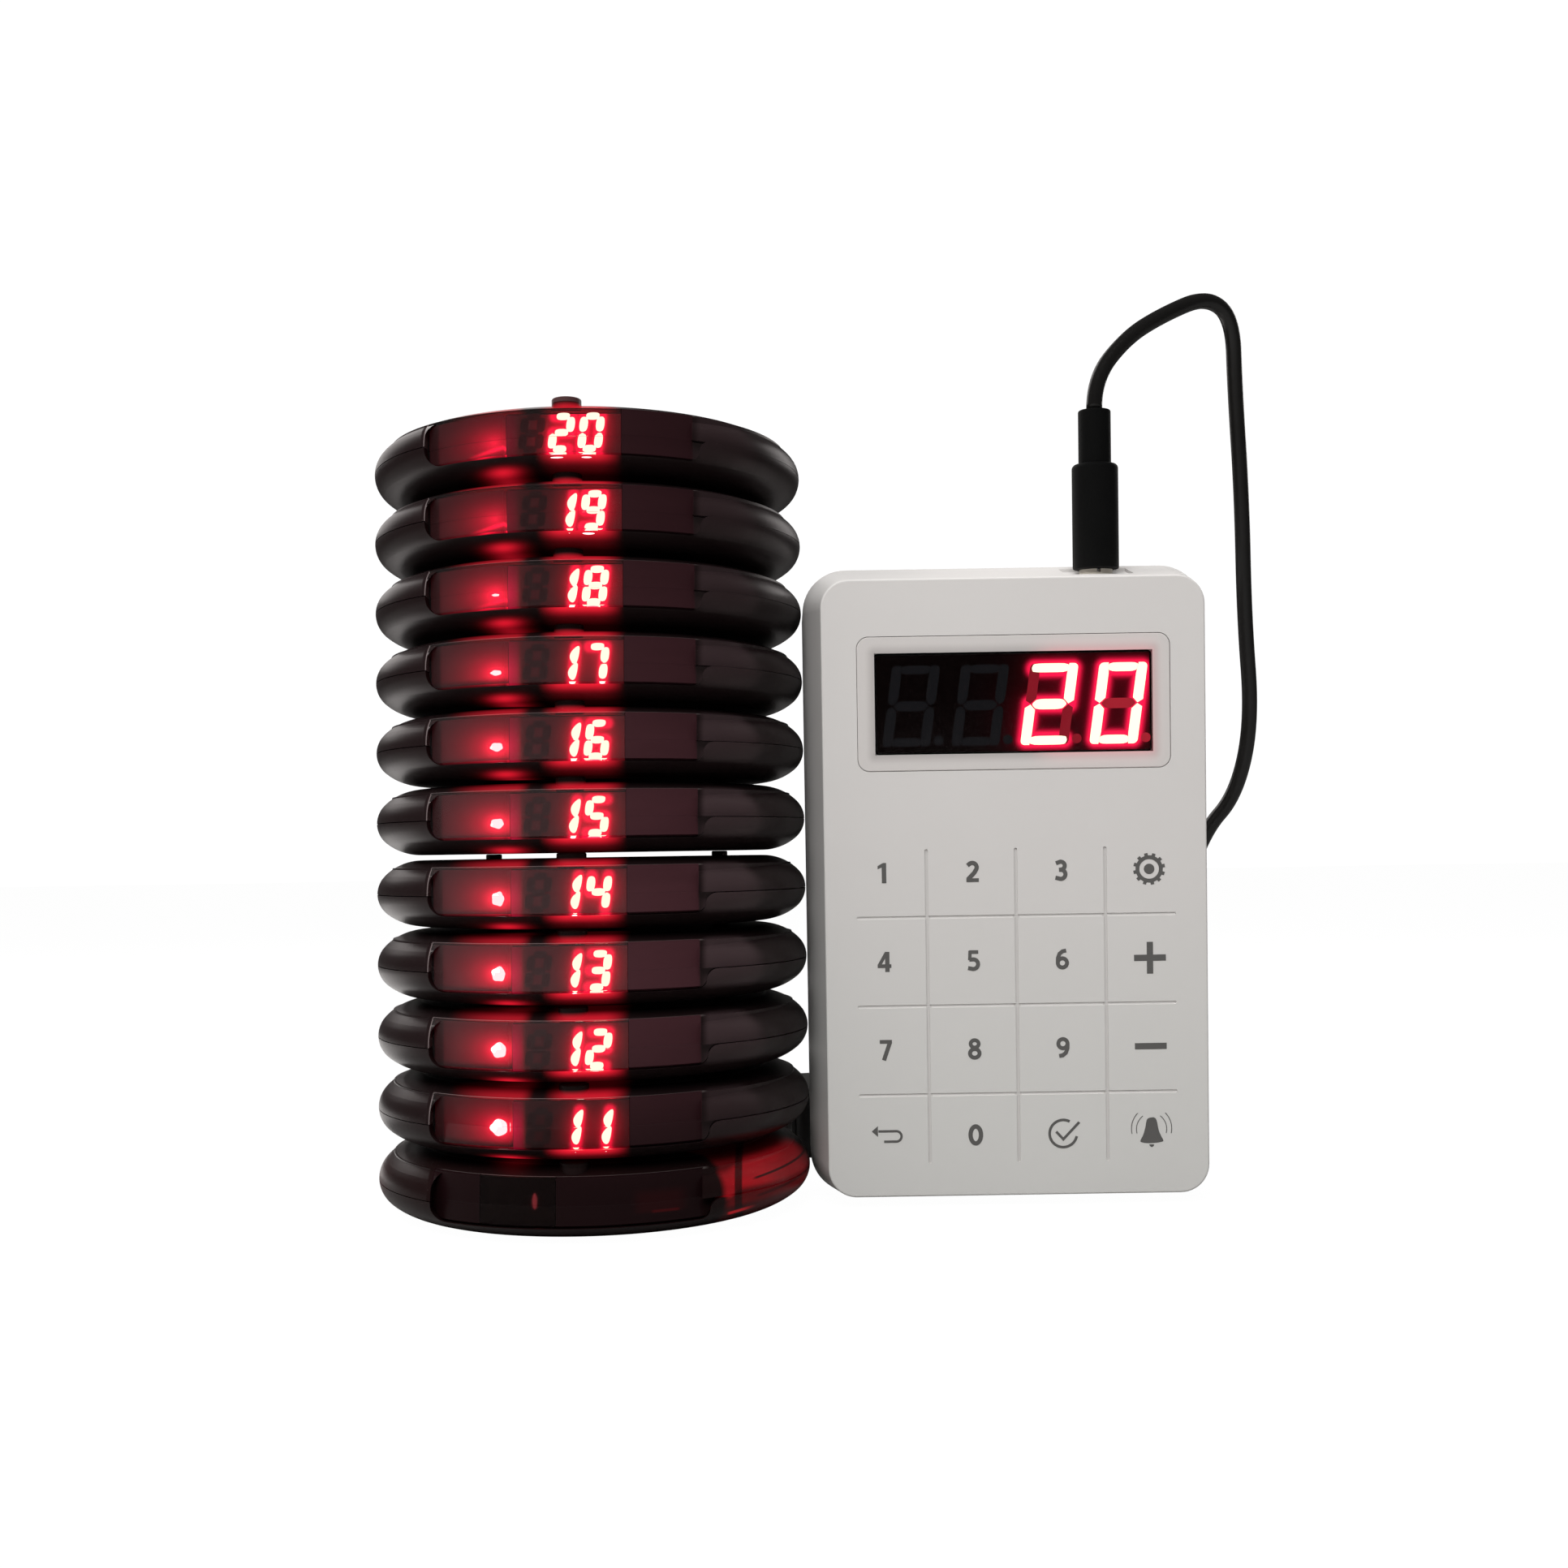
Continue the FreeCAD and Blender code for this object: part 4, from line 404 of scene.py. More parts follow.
def mat_keypad():
    m = Mat("keypad_white")
    cloud = m.noise(22, 3.0)
    grain = m.noise(5200, 2.0)
    pits = m.noise(2600, 3.0)
    x, y, z = m.xyz()
    # painted shade: the face is a few percent darker towards the bottom
    upper_tone = m.mix(cloud, (0.578, 0.560, 0.545), (0.604, 0.586, 0.571))
    lower_shaded_tone = m.mix(cloud, (0.553, 0.548, 0.529), (0.577, 0.572, 0.553))
    col = m.mix(m.step(z, 105.0, 15.0), upper_tone, lower_shaded_tone)
    # the lines between the keys: the upright ones are darkened with painted shade, the level ones are lightened with
    # painted light against the shadow of their upper edge
    u, v, n = keypad_uv(m)
    au = m.op("ABSOLUTE", u)
    deep = m.mul(m.step(n, -0.03, -0.12), m.step(n, -0.45, -0.40), m.step(v, 3.0, 4.0), m.step(v, 97.0, 95.0), m.step(au, 47.0, 45.0))
    upright = m.op("MAXIMUM", m.step(m.op("ABSOLUTE", m.op("SUBTRACT", au, 21.95)), 0.75, 0.6), m.step(au, 0.9, 0.75))
    col = m.mix(m.mul(deep, upright), col, (0.538, 0.522, 0.507))
    col = m.mix(m.mul(deep, m.op("SUBTRACT", 1.0, upright)), col, (0.665, 0.650, 0.635))
    m.set("Base Color", col)
    m.set("Roughness", m.add(0.40, m.mul(pits, 0.12)))
    m.set("IOR", 1.46)
    m.bump(m.add(m.mul(grain, 0.4), m.mul(pits, 0.6)), 0.00003, 0.35)
    return m.m


def mat_lens():
    m = Mat("display_lens")
    u, v, n = keypad_uv(m)
    inside = m.mul(m.step(u, -34.35, -34.25), m.step(u, 34.35, 34.25), m.step(v, 109.85, 109.95), m.step(v, 135.05, 134.95))
    du = m.op("MAXIMUM", m.op("SUBTRACT", m.op("ABSOLUTE", u), 34.3), 0.0)
    dv = m.op("MAXIMUM", m.op("SUBTRACT", m.op("ABSOLUTE", m.op("SUBTRACT", v, 122.45)), 12.55), 0.0)
    d = m.op("SQRT", m.add(m.mul(du, du), m.mul(dv, dv)))
    near = m.step(d, 2.6, 0.0)
    haze = m.noise(45, 3.0)
    # painted shade: the frosted border darkens within 2.6 mm of the clear window
    border = m.mix(near, (0.545, 0.52, 0.505), (0.40, 0.375, 0.365))
    border = m.mix(m.mul(haze, 0.12), border, (0.62, 0.60, 0.58))
    m.set("Base Color", m.mix(inside, border, (0.97, 0.96, 0.96)))
    m.set("Transmission Weight", inside)
    m.set("Roughness", m.mixf(inside, m.add(0.22, m.mul(haze, 0.1)), m.mul(haze, 0.004)))
    m.set("IOR", 1.14)
    # red light of the lit digits in the frosted border
    bu = m.mul(m.step(u, 2.0, 12.0), m.step(u, 40.0, 31.0))
    fall = m.op("POWER", 2.718, m.mul(d, -0.75))
    out = m.op("SUBTRACT", 1.0, inside)
    e = m.mul(bu, fall, out, 0.30)
    m.set("Emission Color", m.mix(e, (0, 0, 0), (1.0, 0.10, 0.16)))
    m.set("Emission Strength", 1.0)
    m.bump(m.mul(m.noise(3000, 2.0), out), 0.00001, 0.15)
    return m.m


M_KEY = mat_keypad()
M_LENS = mat_lens()


def paint(obj, material):
    obj.data.materials.clear()
    obj.data.materials.append(material)


for name, o in NODES.items():
    low = name
    if low.endswith("top_cover"):
        paint(o, M_COVER_BASE if low.startswith("base") else M_COVER)
    elif low.endswith("bottom_shell"):
        paint(o, M_SHELL_BASE if low.startswith("base") else M_SHELL)
    elif low.endswith("led_display"):
        paint(o, M_MODULE)
    elif low.endswith("circuit_board"):
        paint(o, M_BOARD)
    elif low.endswith("feet"):
        paint(o, M_RUBBER)
    elif low == "base_dc_jack":
        paint(o, M_SOCKET)
    elif low == "keypad_dc_jack":
        paint(o, M_SOCKET_PALE)
    elif low in ("keypad_front_shell", "keypad_rear_shell"):
        paint(o, M_KEY)
    elif low == "keypad_display_lens":
        paint(o, M_LENS)
    elif low == "keypad_antenna":
        paint(o, M_ANT)
    elif low == "keypad_screws":
        paint(o, M_SCREW)
    elif low == "dc_plug":
        paint(o, M_PLUG)
    elif low in ("dc_plug_barrel", "adapter_pins"):
        paint(o, M_METAL)
    elif low == "power_adapter":
        paint(o, M_ADAPT)
    else:
        paint(o, M_CORD)

# ------------------------------------------------------------------ cord
ROUTE = [
    (77.45, -21.45, 198.36), (77.45, -22.00, 206.24), (86.3, -20.0, 217.2), (96.8, -15.5, 224.3),
    (109.2, -10.0, 230.6), (117.0, -6.0, 226.2), (118.3, -1.5, 209.0), (120.6, 3.0, 181.0),
    (121.9, 8.5, 150.0), (124.8, 14.0, 122.0), (121.4, 19.5, 102.4), (113.5, 24.8, 92.6),
    (105.0, 24.2, 70.0), (105.3, 18.8, 38.0), (104.2, 18.4, 15.4), (104.0, 31.0, 2.2),
    (104.0, 49.0, 2.2),
]


def turns():
    """Hand-laid turns of the wound-up rest: (degrees, ring radius, height), 12 to a turn, counter-clockwise from above."""
    out = []
    plan = []
    for i in range(1, 76):
        a = i * 30.0
        t = i / 12.0
        if t <= 1.0:
            r, z = 24.0, 2.2
            if t > 0.83:
                r = 24.0 - 4.0 * (t - 0.83) / 0.17
        elif t <= 2.0:
            r, z = 20.0, 2.2
            if t > 1.83:
                r = 20.0 - 4.0 * (t - 1.83) / 0.17
        elif t <= 3.0:
            r, z = 16.0, 2.2
            if t > 2.66:
                z = 2.2 + 4.1 * (t - 2.66) / 0.34
        elif t <= 4.0:
            r, z = 16.0, 6.3
            if t > 3.66:
                r = 16.0 + 4.0 * min(1.0, (t - 3.66) / 0.25)
        elif t <= 5.0:
            r, z = 20.0, 6.3
            if t > 4.66:
                r = 20.0 + 4.0 * min(1.0, (t - 4.66) / 0.25)
        else:
            r, z = 24.0, 6.3
            if t > 5.49:
                z = 6.3 + 4.0 * min(1.0, (t - 5.42) / 0.25)
        plan.append((a, r, z))
    for a, r, z in plan:
        q = math.radians(a)
        rr = r / 0.9665
        out.append((80.0 + rr * math.cos(q), 63.0 + rr * math.sin(q), z))
    return out


coil = turns()
# the last turn leaves towards the adapter's nose
EXIT = [(73.0, 86.2, 10.0), (66.0, 84.6, 10.0), (57.4, 82.74, 10.0)]
points = ROUTE + coil + EXIT
curve = bpy.data.curves.new("cord_line", "CURVE")
curve.dimensions = "3D"
curve.resolution_u = 10
sp = curve.splines.new("NURBS")
sp.points.add(len(points) - 1)
for p, q in zip(sp.points, points):
    p.co = (q[0] * MM, q[1] * MM, q[2] * MM, 1.0)
sp.order_u = 3
sp.use_endpoint_u = True
line_obj = bpy.data.objects.new("cord_line", curve)
bpy.context.scene.collection.objects.link(line_obj)
bpy.context.view_layer.update()
line_mesh = bpy.data.meshes.new_from_object(line_obj)
path = [v.co.copy() for v in line_mesh.vertices]
bpy.data.meshes.remove(line_mesh)
bpy.data.objects.remove(line_obj)


def tube(name, pts, radius, sides=14):
    """A closed tube along the points, carried by parallel frames."""
    clean = [pts[0]]
    for p in pts[1:]:
        if (p - clean[-1]).length > 1e-5:
            clean.append(p)
    pts = clean
    bm = bmesh.new()
    t = (pts[1] - pts[0]).normalized()
    n = t.orthogonal().normalized()
    rings = []
    for i, p in enumerate(pts):
        if i == 0:
            t2 = t
        elif i == len(pts) - 1:
            t2 = (pts[i] - pts[i - 1]).normalized()
        else:
            t2 = ((pts[i + 1] - pts[i]).normalized() + (pts[i] - pts[i - 1]).normalized()).normalized()
        n = (n - t2 * n.dot(t2)).normalized()
        b = t2.cross(n)
        rings.append([bm.verts.new(p + (n * math.cos(2 * math.pi * k / sides) + b * math.sin(2 * math.pi * k / sides)) * radius) for k in range(sides)])
    for r0, r1 in zip(rings, rings[1:]):
        for k in range(sides):
            f = bm.faces.new((r0[k], r0[(k + 1) % sides], r1[(k + 1) % sides], r1[k]))
            f.smooth = True
    bm.faces.new(list(reversed(rings[0])))
    bm.faces.new(rings[-1])
    bmesh.ops.recalc_face_normals(bm, faces=bm.faces)
    me = bpy.data.meshes.new(name)
    bm.to_mesh(me)
    bm.free()
    o = bpy.data.objects.new(name, me)
    bpy.context.scene.collection.objects.link(o)
    return o


lead = tube("supply_lead", path, 2.0 * MM)
paint(lead, M_CORD)
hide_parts("power_cord", "power_cord_coil")
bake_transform(lead)


# ------------------------------------------------------------------ mesh helpers
def link_mesh(name, bm, material, body, smooth=False):
    bmesh.ops.recalc_face_normals(bm, faces=bm.faces)
    for f in bm.faces:
        f.smooth = smooth
    me = bpy.data.meshes.new(name)
    bm.to_mesh(me)
    bm.free()
    o = bpy.data.objects.new(name, me)
    bpy.context.scene.collection.objects.link(o)
    paint(o, material)
    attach(o, body)
    return o


def rounder(poly, passes=2, cut=0.25):
    for _ in range(passes):
        new = []
        for i, a in enumerate(poly):
            b = poly[(i + 1) % len(poly)]
            new.append((a[0] + (b[0] - a[0]) * cut, a[1] + (b[1] - a[1]) * cut))
            new.append((a[0] + (b[0] - a[0]) * (1 - cut), a[1] + (b[1] - a[1]) * (1 - cut)))
        poly = new
    return poly


def plate(bm, poly, place, lo, hi, crown=0.0, inset=0.0):
    """A closed plate with the outline poly between depths lo and hi. With an inset its front edge is rounded."""
    cx = sum(p[0] for p in poly) / len(poly)
    cz = sum(p[1] for p in poly) / len(poly)
    levels = [(lo, 1.0, 0.0), (hi - crown, 1.0, 0.0)]
    if inset > 0:
        levels.append((hi - crown * 0.3, 1.0, inset * 0.45))
        levels.append((hi, 1.0, inset))
    rings = []
    for depth, _, ins in levels:
        ring = []
        for (x, z) in poly:
            dx, dz = x - cx, z - cz
            ln = math.hypot(dx, dz) or 1.0
            k = max(0.0, 1.0 - ins / ln)
            ring.append(bm.verts.new(place(cx + dx * k, cz + dz * k, depth)))
        rings.append(ring)
    n = len(poly)
    for a, b in zip(rings, rings[1:]):
        for i in range(n):
            bm.faces.new((a[i], a[(i + 1) % n], b[(i + 1) % n], b[i]))
    bm.faces.new(list(reversed(rings[0])))
    bm.faces.new(rings[-1])


def glow_plate(name, xs, zs, place, front, back, colour, material, body):
    """A thin closed sheet whose front is a fine grid that carries the colour of its own light."""
    bm = bmesh.new()
    layer = bm.verts.layers.float_color.new("glow")
    grid = []
    for z in zs:
        row = []
        for x in xs:
            v = bm.verts.new(place(x, z, front))
            c = colour(x, z)
            v[layer] = (c[0], c[1], c[2], 1.0)
            row.append(v)
        grid.append(row)
    for j in range(len(zs) - 1):
        for i in range(len(xs) - 1):
            bm.faces.new((grid[j][i], grid[j][i + 1], grid[j + 1][i + 1], grid[j + 1][i]))
    loop = [(i, 0) for i in range(len(xs))] + [(len(xs) - 1, j) for j in range(1, len(zs))]
    loop += [(i, len(zs) - 1) for i in range(len(xs) - 2, -1, -1)] + [(0, j) for j in range(len(zs) - 2, 0, -1)]
    low = []
    for i, j in loop:
        v = bm.verts.new(place(xs[i], zs[j], back))
        v[layer] = (0, 0, 0, 1)
        low.append(v)
    n = len(loop)
    for k in range(n):
        a, b = loop[k], loop[(k + 1) % n]
        bm.faces.new((grid[a[1]][a[0]], low[k], low[(k + 1) % n], grid[b[1]][b[0]]))
    bm.faces.new(list(reversed(low)))
    return link_mesh(name, bm, material, body, smooth=False)


SEGS = {"a": ((-1, 1), (1, 1)), "b": ((1, 1), (1, 0)), "c": ((1, 0), (1, -1)), "d": ((-1, -1), (1, -1)),
        "e": ((-1, 0), (-1, -1)), "f": ((-1, 1), (-1, 0)), "g": ((-1, 0), (1, 0))}
ON = {"0": "abcdef", "1": "bc", "2": "abdeg", "3": "abcdg", "4": "bcfg", "5": "acdfg", "6": "acdefg",
      "7": "abc", "8": "abcdefg", "9": "abcdfg"}


def seg_line(s, w, h, t):
    (ax, az), (bx, bz) = SEGS[s]
    return ((w - t) / 2 * ax, (h - t) / 2 * az), ((w - t) / 2 * bx, (h - t) / 2 * bz)


def spread(px, pz, samples, lam):
    d = np.hypot(samples[:, 0] - px, samples[:, 1] - pz)
    return float(np.exp(-d / lam).sum())


def near_line(px, pz, a, b):
    ax, az = a
    bx, bz = b
    dx, dz = bx - ax, bz - az
    L = dx * dx + dz * dz
    t = 0 if L == 0 else max(0.0, min(1.0, ((px - ax) * dx + (pz - az) * dz) / L))
    return math.hypot(px - ax - dx * t, pz - az - dz * t)


# ------------------------------------------------------------------ pager displays
PW, PH, PT, PSL, PZC = 5.45, 9.3, 1.6, 0.12, 0.4
PCX = (-7.4, -0.5, 6.4)


def pager_seg_poly(s, one=False):
    a, b = seg_line(s, PW, PH, PT)
    hw = 0.86 if a[1] == b[1] else 0.98
    if a[1] == b[1]:
        x0, x1, z = a[0] + 0.30, b[0] - 0.30, a[1]
        sgn = 0.0 if s == "g" else (1.0 if s == "a" else -1.0)
        poly = [(x0, z), (x0 + 0.30, z + hw), (x1 - 0.30, z + hw), (x1, z), (x1 - 0.45, z - hw), (x0 + 0.45, z - hw)]
        if s == "d":
            poly = [(x0, z), (x0 + 0.45, z + hw), (x1 - 0.45, z + hw), (x1, z), (x1 - 0.30, z - hw), (x0 + 0.30, z - hw)]
    else:
        z0, z1, x = max(a[1], b[1]) - 0.22, min(a[1], b[1]) + 0.22, a[0]
        side = 1.0 if x > 0 else -1.0
        if one:
            # slender bowed stroke, its straight side outwards
            poly = [(x + side * 0.86, z0 + 0.80), (x + side * 0.92, (z0 + z1) / 2), (x + side * 0.50, z1 - 0.35), (x - side * 0.60, z1 - 0.12), (x - side * 1.38, (z0 + z1) / 2 - 0.2), (x - side * 0.70, z0 - 0.35)]
        else:
            poly = [(x, z0 + 0.18), (x + side * hw, z0 - 0.25), (x + side * hw, z1 + 0.25), (x, z1 - 0.18), (x - side * hw, z1 + 0.40), (x - side * hw, z0 - 0.40)]
    return rounder(poly, 2)


def place_pager(k, shift=(0.0, 0.0)):
    z0 = 8.7 + 17.8 * (k - 10)

    def f(x, z, d):
        """d is the distance in front of the module's face."""
        return Vector((x + shift[0] - 51.65, -47.3 - d, z + shift[1] + z0)) * MM
    return f


FILM_X = [-13.9 + 0.3 * i for i in range(90)]
FILM_Z = [-5.3 + 0.3 * i for i in range(38)]
BAR_X = [-34.0 + 0.4 * i for i in range(51)]
BAR_Z = [-4.8 + 0.36 * i for i in range(31)]

LAMP_X = -16.9
LAMP_Z = {11: -0.3, 12: -0.3, 13: -0.5, 14: -0.85, 15: -1.1, 16: -1.0, 17: -1.4, 18: -0.9, 19: -0.8, 20: -0.5}


def lamp_glow(k, x, z):
    """Red light of the lamp on the screen behind the window."""
    dx, dz = x - LAMP_X, z - LAMP_Z[k]
    r = math.hypot(dx * (0.78 if dx < 0 else 1.0), dz * 1.28)
    e = (1.75 if k <= 18 else 1.15) * math.exp(-r / 2.9) + 0.07 * math.exp(-r / 7.0)
    if k >= 18 and -24.0 < x < -14.3:
        line = math.exp(-((z - LAMP_Z[k] + 1.3 - 0.22 * (x + 15.0)) / 0.42) ** 2)
        e += (0.9 if k == 18 else 1.5) * line * min(1.0, (x + 24.0) / 7.0)
    return e


# how strongly each window's film glows evenly (painted light for the lit haze in the window), and how far its digits
# sit from the module's centre: across, up
HAZE_GLOW = {20: 0.8, 19: 0.8, 18: 0.85, 17: 0.9, 16: 1.0, 15: 1.0, 14: 1.05, 13: 1.1, 12: 0.7, 11: 0.35}
SHIFT = {20: (-0.6, 1.0), 19: (-0.35, 0.4), 18: (0.0, 0.4), 17: (-0.15, 0.0), 16: (0.0, -0.15), 15: (-0.3, -0.15),
         14: (-0.15, 0.0), 13: (-0.35, -0.35), 12: (-0.5, -0.65), 11: (-0.5, -0.85)}

for k in range(11, 21):
    body = f"pager_{k}"
    text = str(k)
    place = place_pager(k)
    put = place_pager(k, SHIFT[k])
    sdx, sdz = SHIFT[k]
    lit_bm, dim_bm = bmesh.new(), bmesh.new()
    dim_layer = dim_bm.verts.layers.float_color.new("glow")
    samples, lines = [], []
    for cell, ch in zip(PCX, [" "] + list(text)):
        on = ON.get(ch, "")
        for s in "abcdefg":
            poly = pager_seg_poly(s, ch == "1" and s in on)
            poly = [(cell + x + z * PSL, z + PZC) for x, z in poly]
            if s in on:
                plate(lit_bm, poly, put, 0.10, 0.42, crown=0.2, inset=0.18)
                a, b = seg_line(s, PW, PH, PT)
                a, b = (cell + a[0] + a[1] * PSL, a[1] + PZC), (cell + b[0] + b[1] * PSL, b[1] + PZC)
                lines.append((a, b))
                for q in range(9):
                    t = q / 8
                    samples.append((a[0] + (b[0] - a[0]) * t, a[1] + (b[1] - a[1]) * t))
            elif ch == " ":
                plate(dim_bm, poly, put, 0.06, 0.11)
    samples = np.array(samples)

    def glow(x, z):
        x, z = x - sdx, z - sdz
        d = min(near_line(x, z, a, b) for a, b in lines) - PT / 2
        s1 = spread(x, z, samples, 1.05) / 9.0
        s2 = spread(x, z, samples, 2.1) / 9.0
        hot = math.exp(-(max(d, 0.0) / 0.62) ** 2)
        r = 1.7 * hot + 2.5 * s1 + 0.28 * s2
        fog = HAZE_GLOW[k]
        # the lamp beside the module lights its left end too
        xm, zm = x + sdx, z + sdz
        near = 1.0 / (1.0 + math.exp((xm + 11.4) / 0.22))
        spill = near * (1.75 if k <= 18 else 0.55) * lamp_glow(k, xm, zm) + 0.17 * math.exp(-(xm + 14.0) / 2.6) * (0.4 if k == 11 else (1.0 if k <= 18 else 0.55))
        return (r * 1.0 + 0.070 * fog + spill, 0.012 * hot + 0.008 * s1 + 0.0095 * fog + 0.09 * spill * (1.0 - 0.9 * near),
                0.10 * hot + 0.10 * s1 + 0.006 * s2 + 0.013 * fog + 0.085 * spill)

    glow_plate(f"pager_{k}_display_film", FILM_X, FILM_Z, place, 0.05, 0.01, glow, M_FILM, body)
    link_mesh(f"pager_{k}_lit_segments", lit_bm, M_LIT_PAGER, body, smooth=True)
    # painted light: the blank cell's unlit segments glow with about a third of the film's light at their place
    for v in dim_bm.verts:
        c = glow(v.co.x / MM + 51.65, v.co.z / MM - 8.7 - 17.8 * (k - 10))
        v[dim_layer] = (c[0] * 0.32, c[1] * 0.32, c[2] * 0.32, 1.0)
    link_mesh(f"pager_{k}_unlit_segments", dim_bm, M_FILM, body)

    # painted reflection: glowing dashes stand for the lit ends of the digits reflected in the lower edge of the window
    gz = {20: -5.0, 19: -5.1, 18: -4.6, 17: -4.5, 16: -4.6, 15: -4.6, 14: -4.8, 13: -4.9, 12: -5.0, 11: -5.1}[k]
    bright, faint = bmesh.new(), bmesh.new()
    for cell, ch in zip(PCX[1:], text):
        if ch in "17":
            cx, w, h, target = cell + 1.9, 1.25, 0.5, bright
        elif ch == "4":
            continue
        elif k >= 19:
            cx, w, h, target = cell - 0.6, (4.4 if ch == "2" else 3.4), 1.05, bright
        elif k == 12:
            cx, w, h, target = cell - 0.2, 3.4, 0.42, bright
        else:
            cx, w, h, target = cell - 0.2, 3.0, 0.30, faint
        tmp = bmesh.ops.create_uvsphere(target, u_segments=18, v_segments=10, radius=0.5 * MM)
        for v in tmp["verts"]:
            v.co.x *= w
            v.co.z *= h
            v.co.y *= 0.5
            x = cx + sdx + v.co.x / MM
            v.co += Vector((cx + sdx - 51.65, 0, gz + 8.7 + 17.8 * (k - 10))) * MM
            v.co.y -= math.sqrt(52.12 ** 2 - x * x) * MM
    for nm, g in (("bright", bright), ("faint", faint)):
        if len(g.verts):
            link_mesh(f"pager_{k}_window_glint_{nm}", g, M_GLINT if nm == "bright" else M_GLINT_DIM, body, smooth=True)
        else:
            g.free()

    # lamp compartment: a glowing sheet behind the window paints the lamp's red light on the compartment, brightest at
    # its lamp
    z0 = 8.7 + 17.8 * (k - 10)
    lamp_on = k <= 18

    def place_bar(x, z, d, z0=z0):
        y = -math.sqrt(49.3 ** 2 - x * x) - d
        if x > -14.5:
            y = -44.0 - d
        return Vector((x - 51.65, y, z + z0)) * MM

    lx, lz = LAMP_X, LAMP_Z[k]
    lamp_w, lamp_h = {11: (2.4, 1.9), 12: (2.0, 1.75), 13: (1.8, 1.7), 14: (1.6, 1.65), 15: (1.75, 1.15), 16: (1.65, 1.0), 17: (1.4, 0.62), 18: (0.9, 0.3)}.get(k, (0, 0))

    def bar(x, z, lx=lx, lz=lz, k=k):
        e = lamp_glow(k, x, z)
        low = max(0.0, min(1.0, (z + (3.7 if k == 17 else 4.4)) / 1.2))
        e *= 0.15 + 0.85 * low
        hot = math.exp(-(math.hypot((x - lx) / 1.25, z - lz) / 1.9) ** 2) * (1.0 if k <= 16 else (0.45 if k <= 18 else 0.12))
        fog = HAZE_GLOW[k] * (0.55 + 0.45 * low)
        if x < -31.4:
            # beside the screen's end the window looks into the dark shell
            e, fog = e * 0.4, fog * 0.35
        return (1.9 * e + 2.0 * hot + 0.050 * fog, 0.010 * e + 0.055 * hot + 0.0115 * fog, 0.085 * e + 0.13 * hot + 0.0155 * fog)

    glow_plate(f"pager_{k}_lamp_light_sheet", [x for x in BAR_X if x <= -14.0], BAR_Z, place_bar, 0.0, -0.3, bar, M_FILM, body)
    if lamp_on:
        bm = bmesh.new()
        bmesh.ops.create_uvsphere(bm, u_segments=20, v_segments=12, radius=1.0 * MM)
        for v in bm.verts:
            lump = 1.0 + 0.08 * math.sin(5.0 * math.atan2(v.co.z, v.co.x) + k)
            v.co.x *= lamp_w * lump
            v.co.z *= lamp_h * lump
            v.co.y *= 0.6
            v.co += place_bar(lx, lz, 0.1)
        link_mesh(f"pager_{k}_indicator_lamp", bm, M_LAMP, body, smooth=True)

# ------------------------------------------------------------------ keypad display
KW, KH, KT, KSL, KVC = 11.9, 20.1, 2.55, 0.14, 121.9
KCX = [-25.2 + 17.1 * i for i in range(4)]


def key_seg_poly(s, on):
    w, h, t = KW / 2, KH / 2, KT
    g = 0.09
    if s in "ad":
        sg = 1 if s == "a" else -1
        left_free = "f" not in on if s == "a" else "e" not in on
        right_free = "b" not in on if s == "a" else "c" not in on
        xl = -w + (0.5 if (left_free and s in on) else t - 0.35) + g
        xr = w - (0.5 if (right_free and s in on) else t - 0.35) - g
        t = KT - 0.35
        poly = [(xl, sg * (h - 0.02)), (xr, sg * (h - 0.02)), (xr - 0.25, sg * (h - t)), (xl + 0.25, sg * (h - t))]
        if left_free and s in on:
            poly = [(xl + 0.3, sg * h), (xr, sg * h), (xr, sg * (h - t)), (xl + 0.3, sg * (h - t)), (xl - 0.15, sg * (h - t * 0.5))]
        if right_free and s in on:
            poly = [(xl, sg * h), (xr - 0.3, sg * h), (xr + 0.15, sg * (h - t * 0.5)), (xr - 0.3, sg * (h - t)), (xl, sg * (h - t))]
        return poly
    if s == "g":
        return [(-w + t * 0.62, 0), (-w + t * 1.1, t / 2), (w - t * 1.1, t / 2), (w - t * 0.62, 0), (w - t * 1.1, -t / 2), (-w + t * 1.1, -t / 2)]
    sx = 1 if s in "bc" else -1
    sz = 1 if s in "bf" else -1
    outer, inner = sx * w, sx * (w - t)
    arc = []
    r = 1.1
    for q in range(5):
        a = math.pi / 2 * q / 4
        arc.append((outer - sx * r + sx * r * math.cos(a), sz * (h - r + r * math.sin(a))))
    return arc + [(inner + sx * 0.3, sz * h), (inner, sz * (h - t - 0.2)), (inner, sz * (t / 2 + 0.1)), (sx * (w - t / 2), sz * g), (outer, sz * (t * 0.35))]


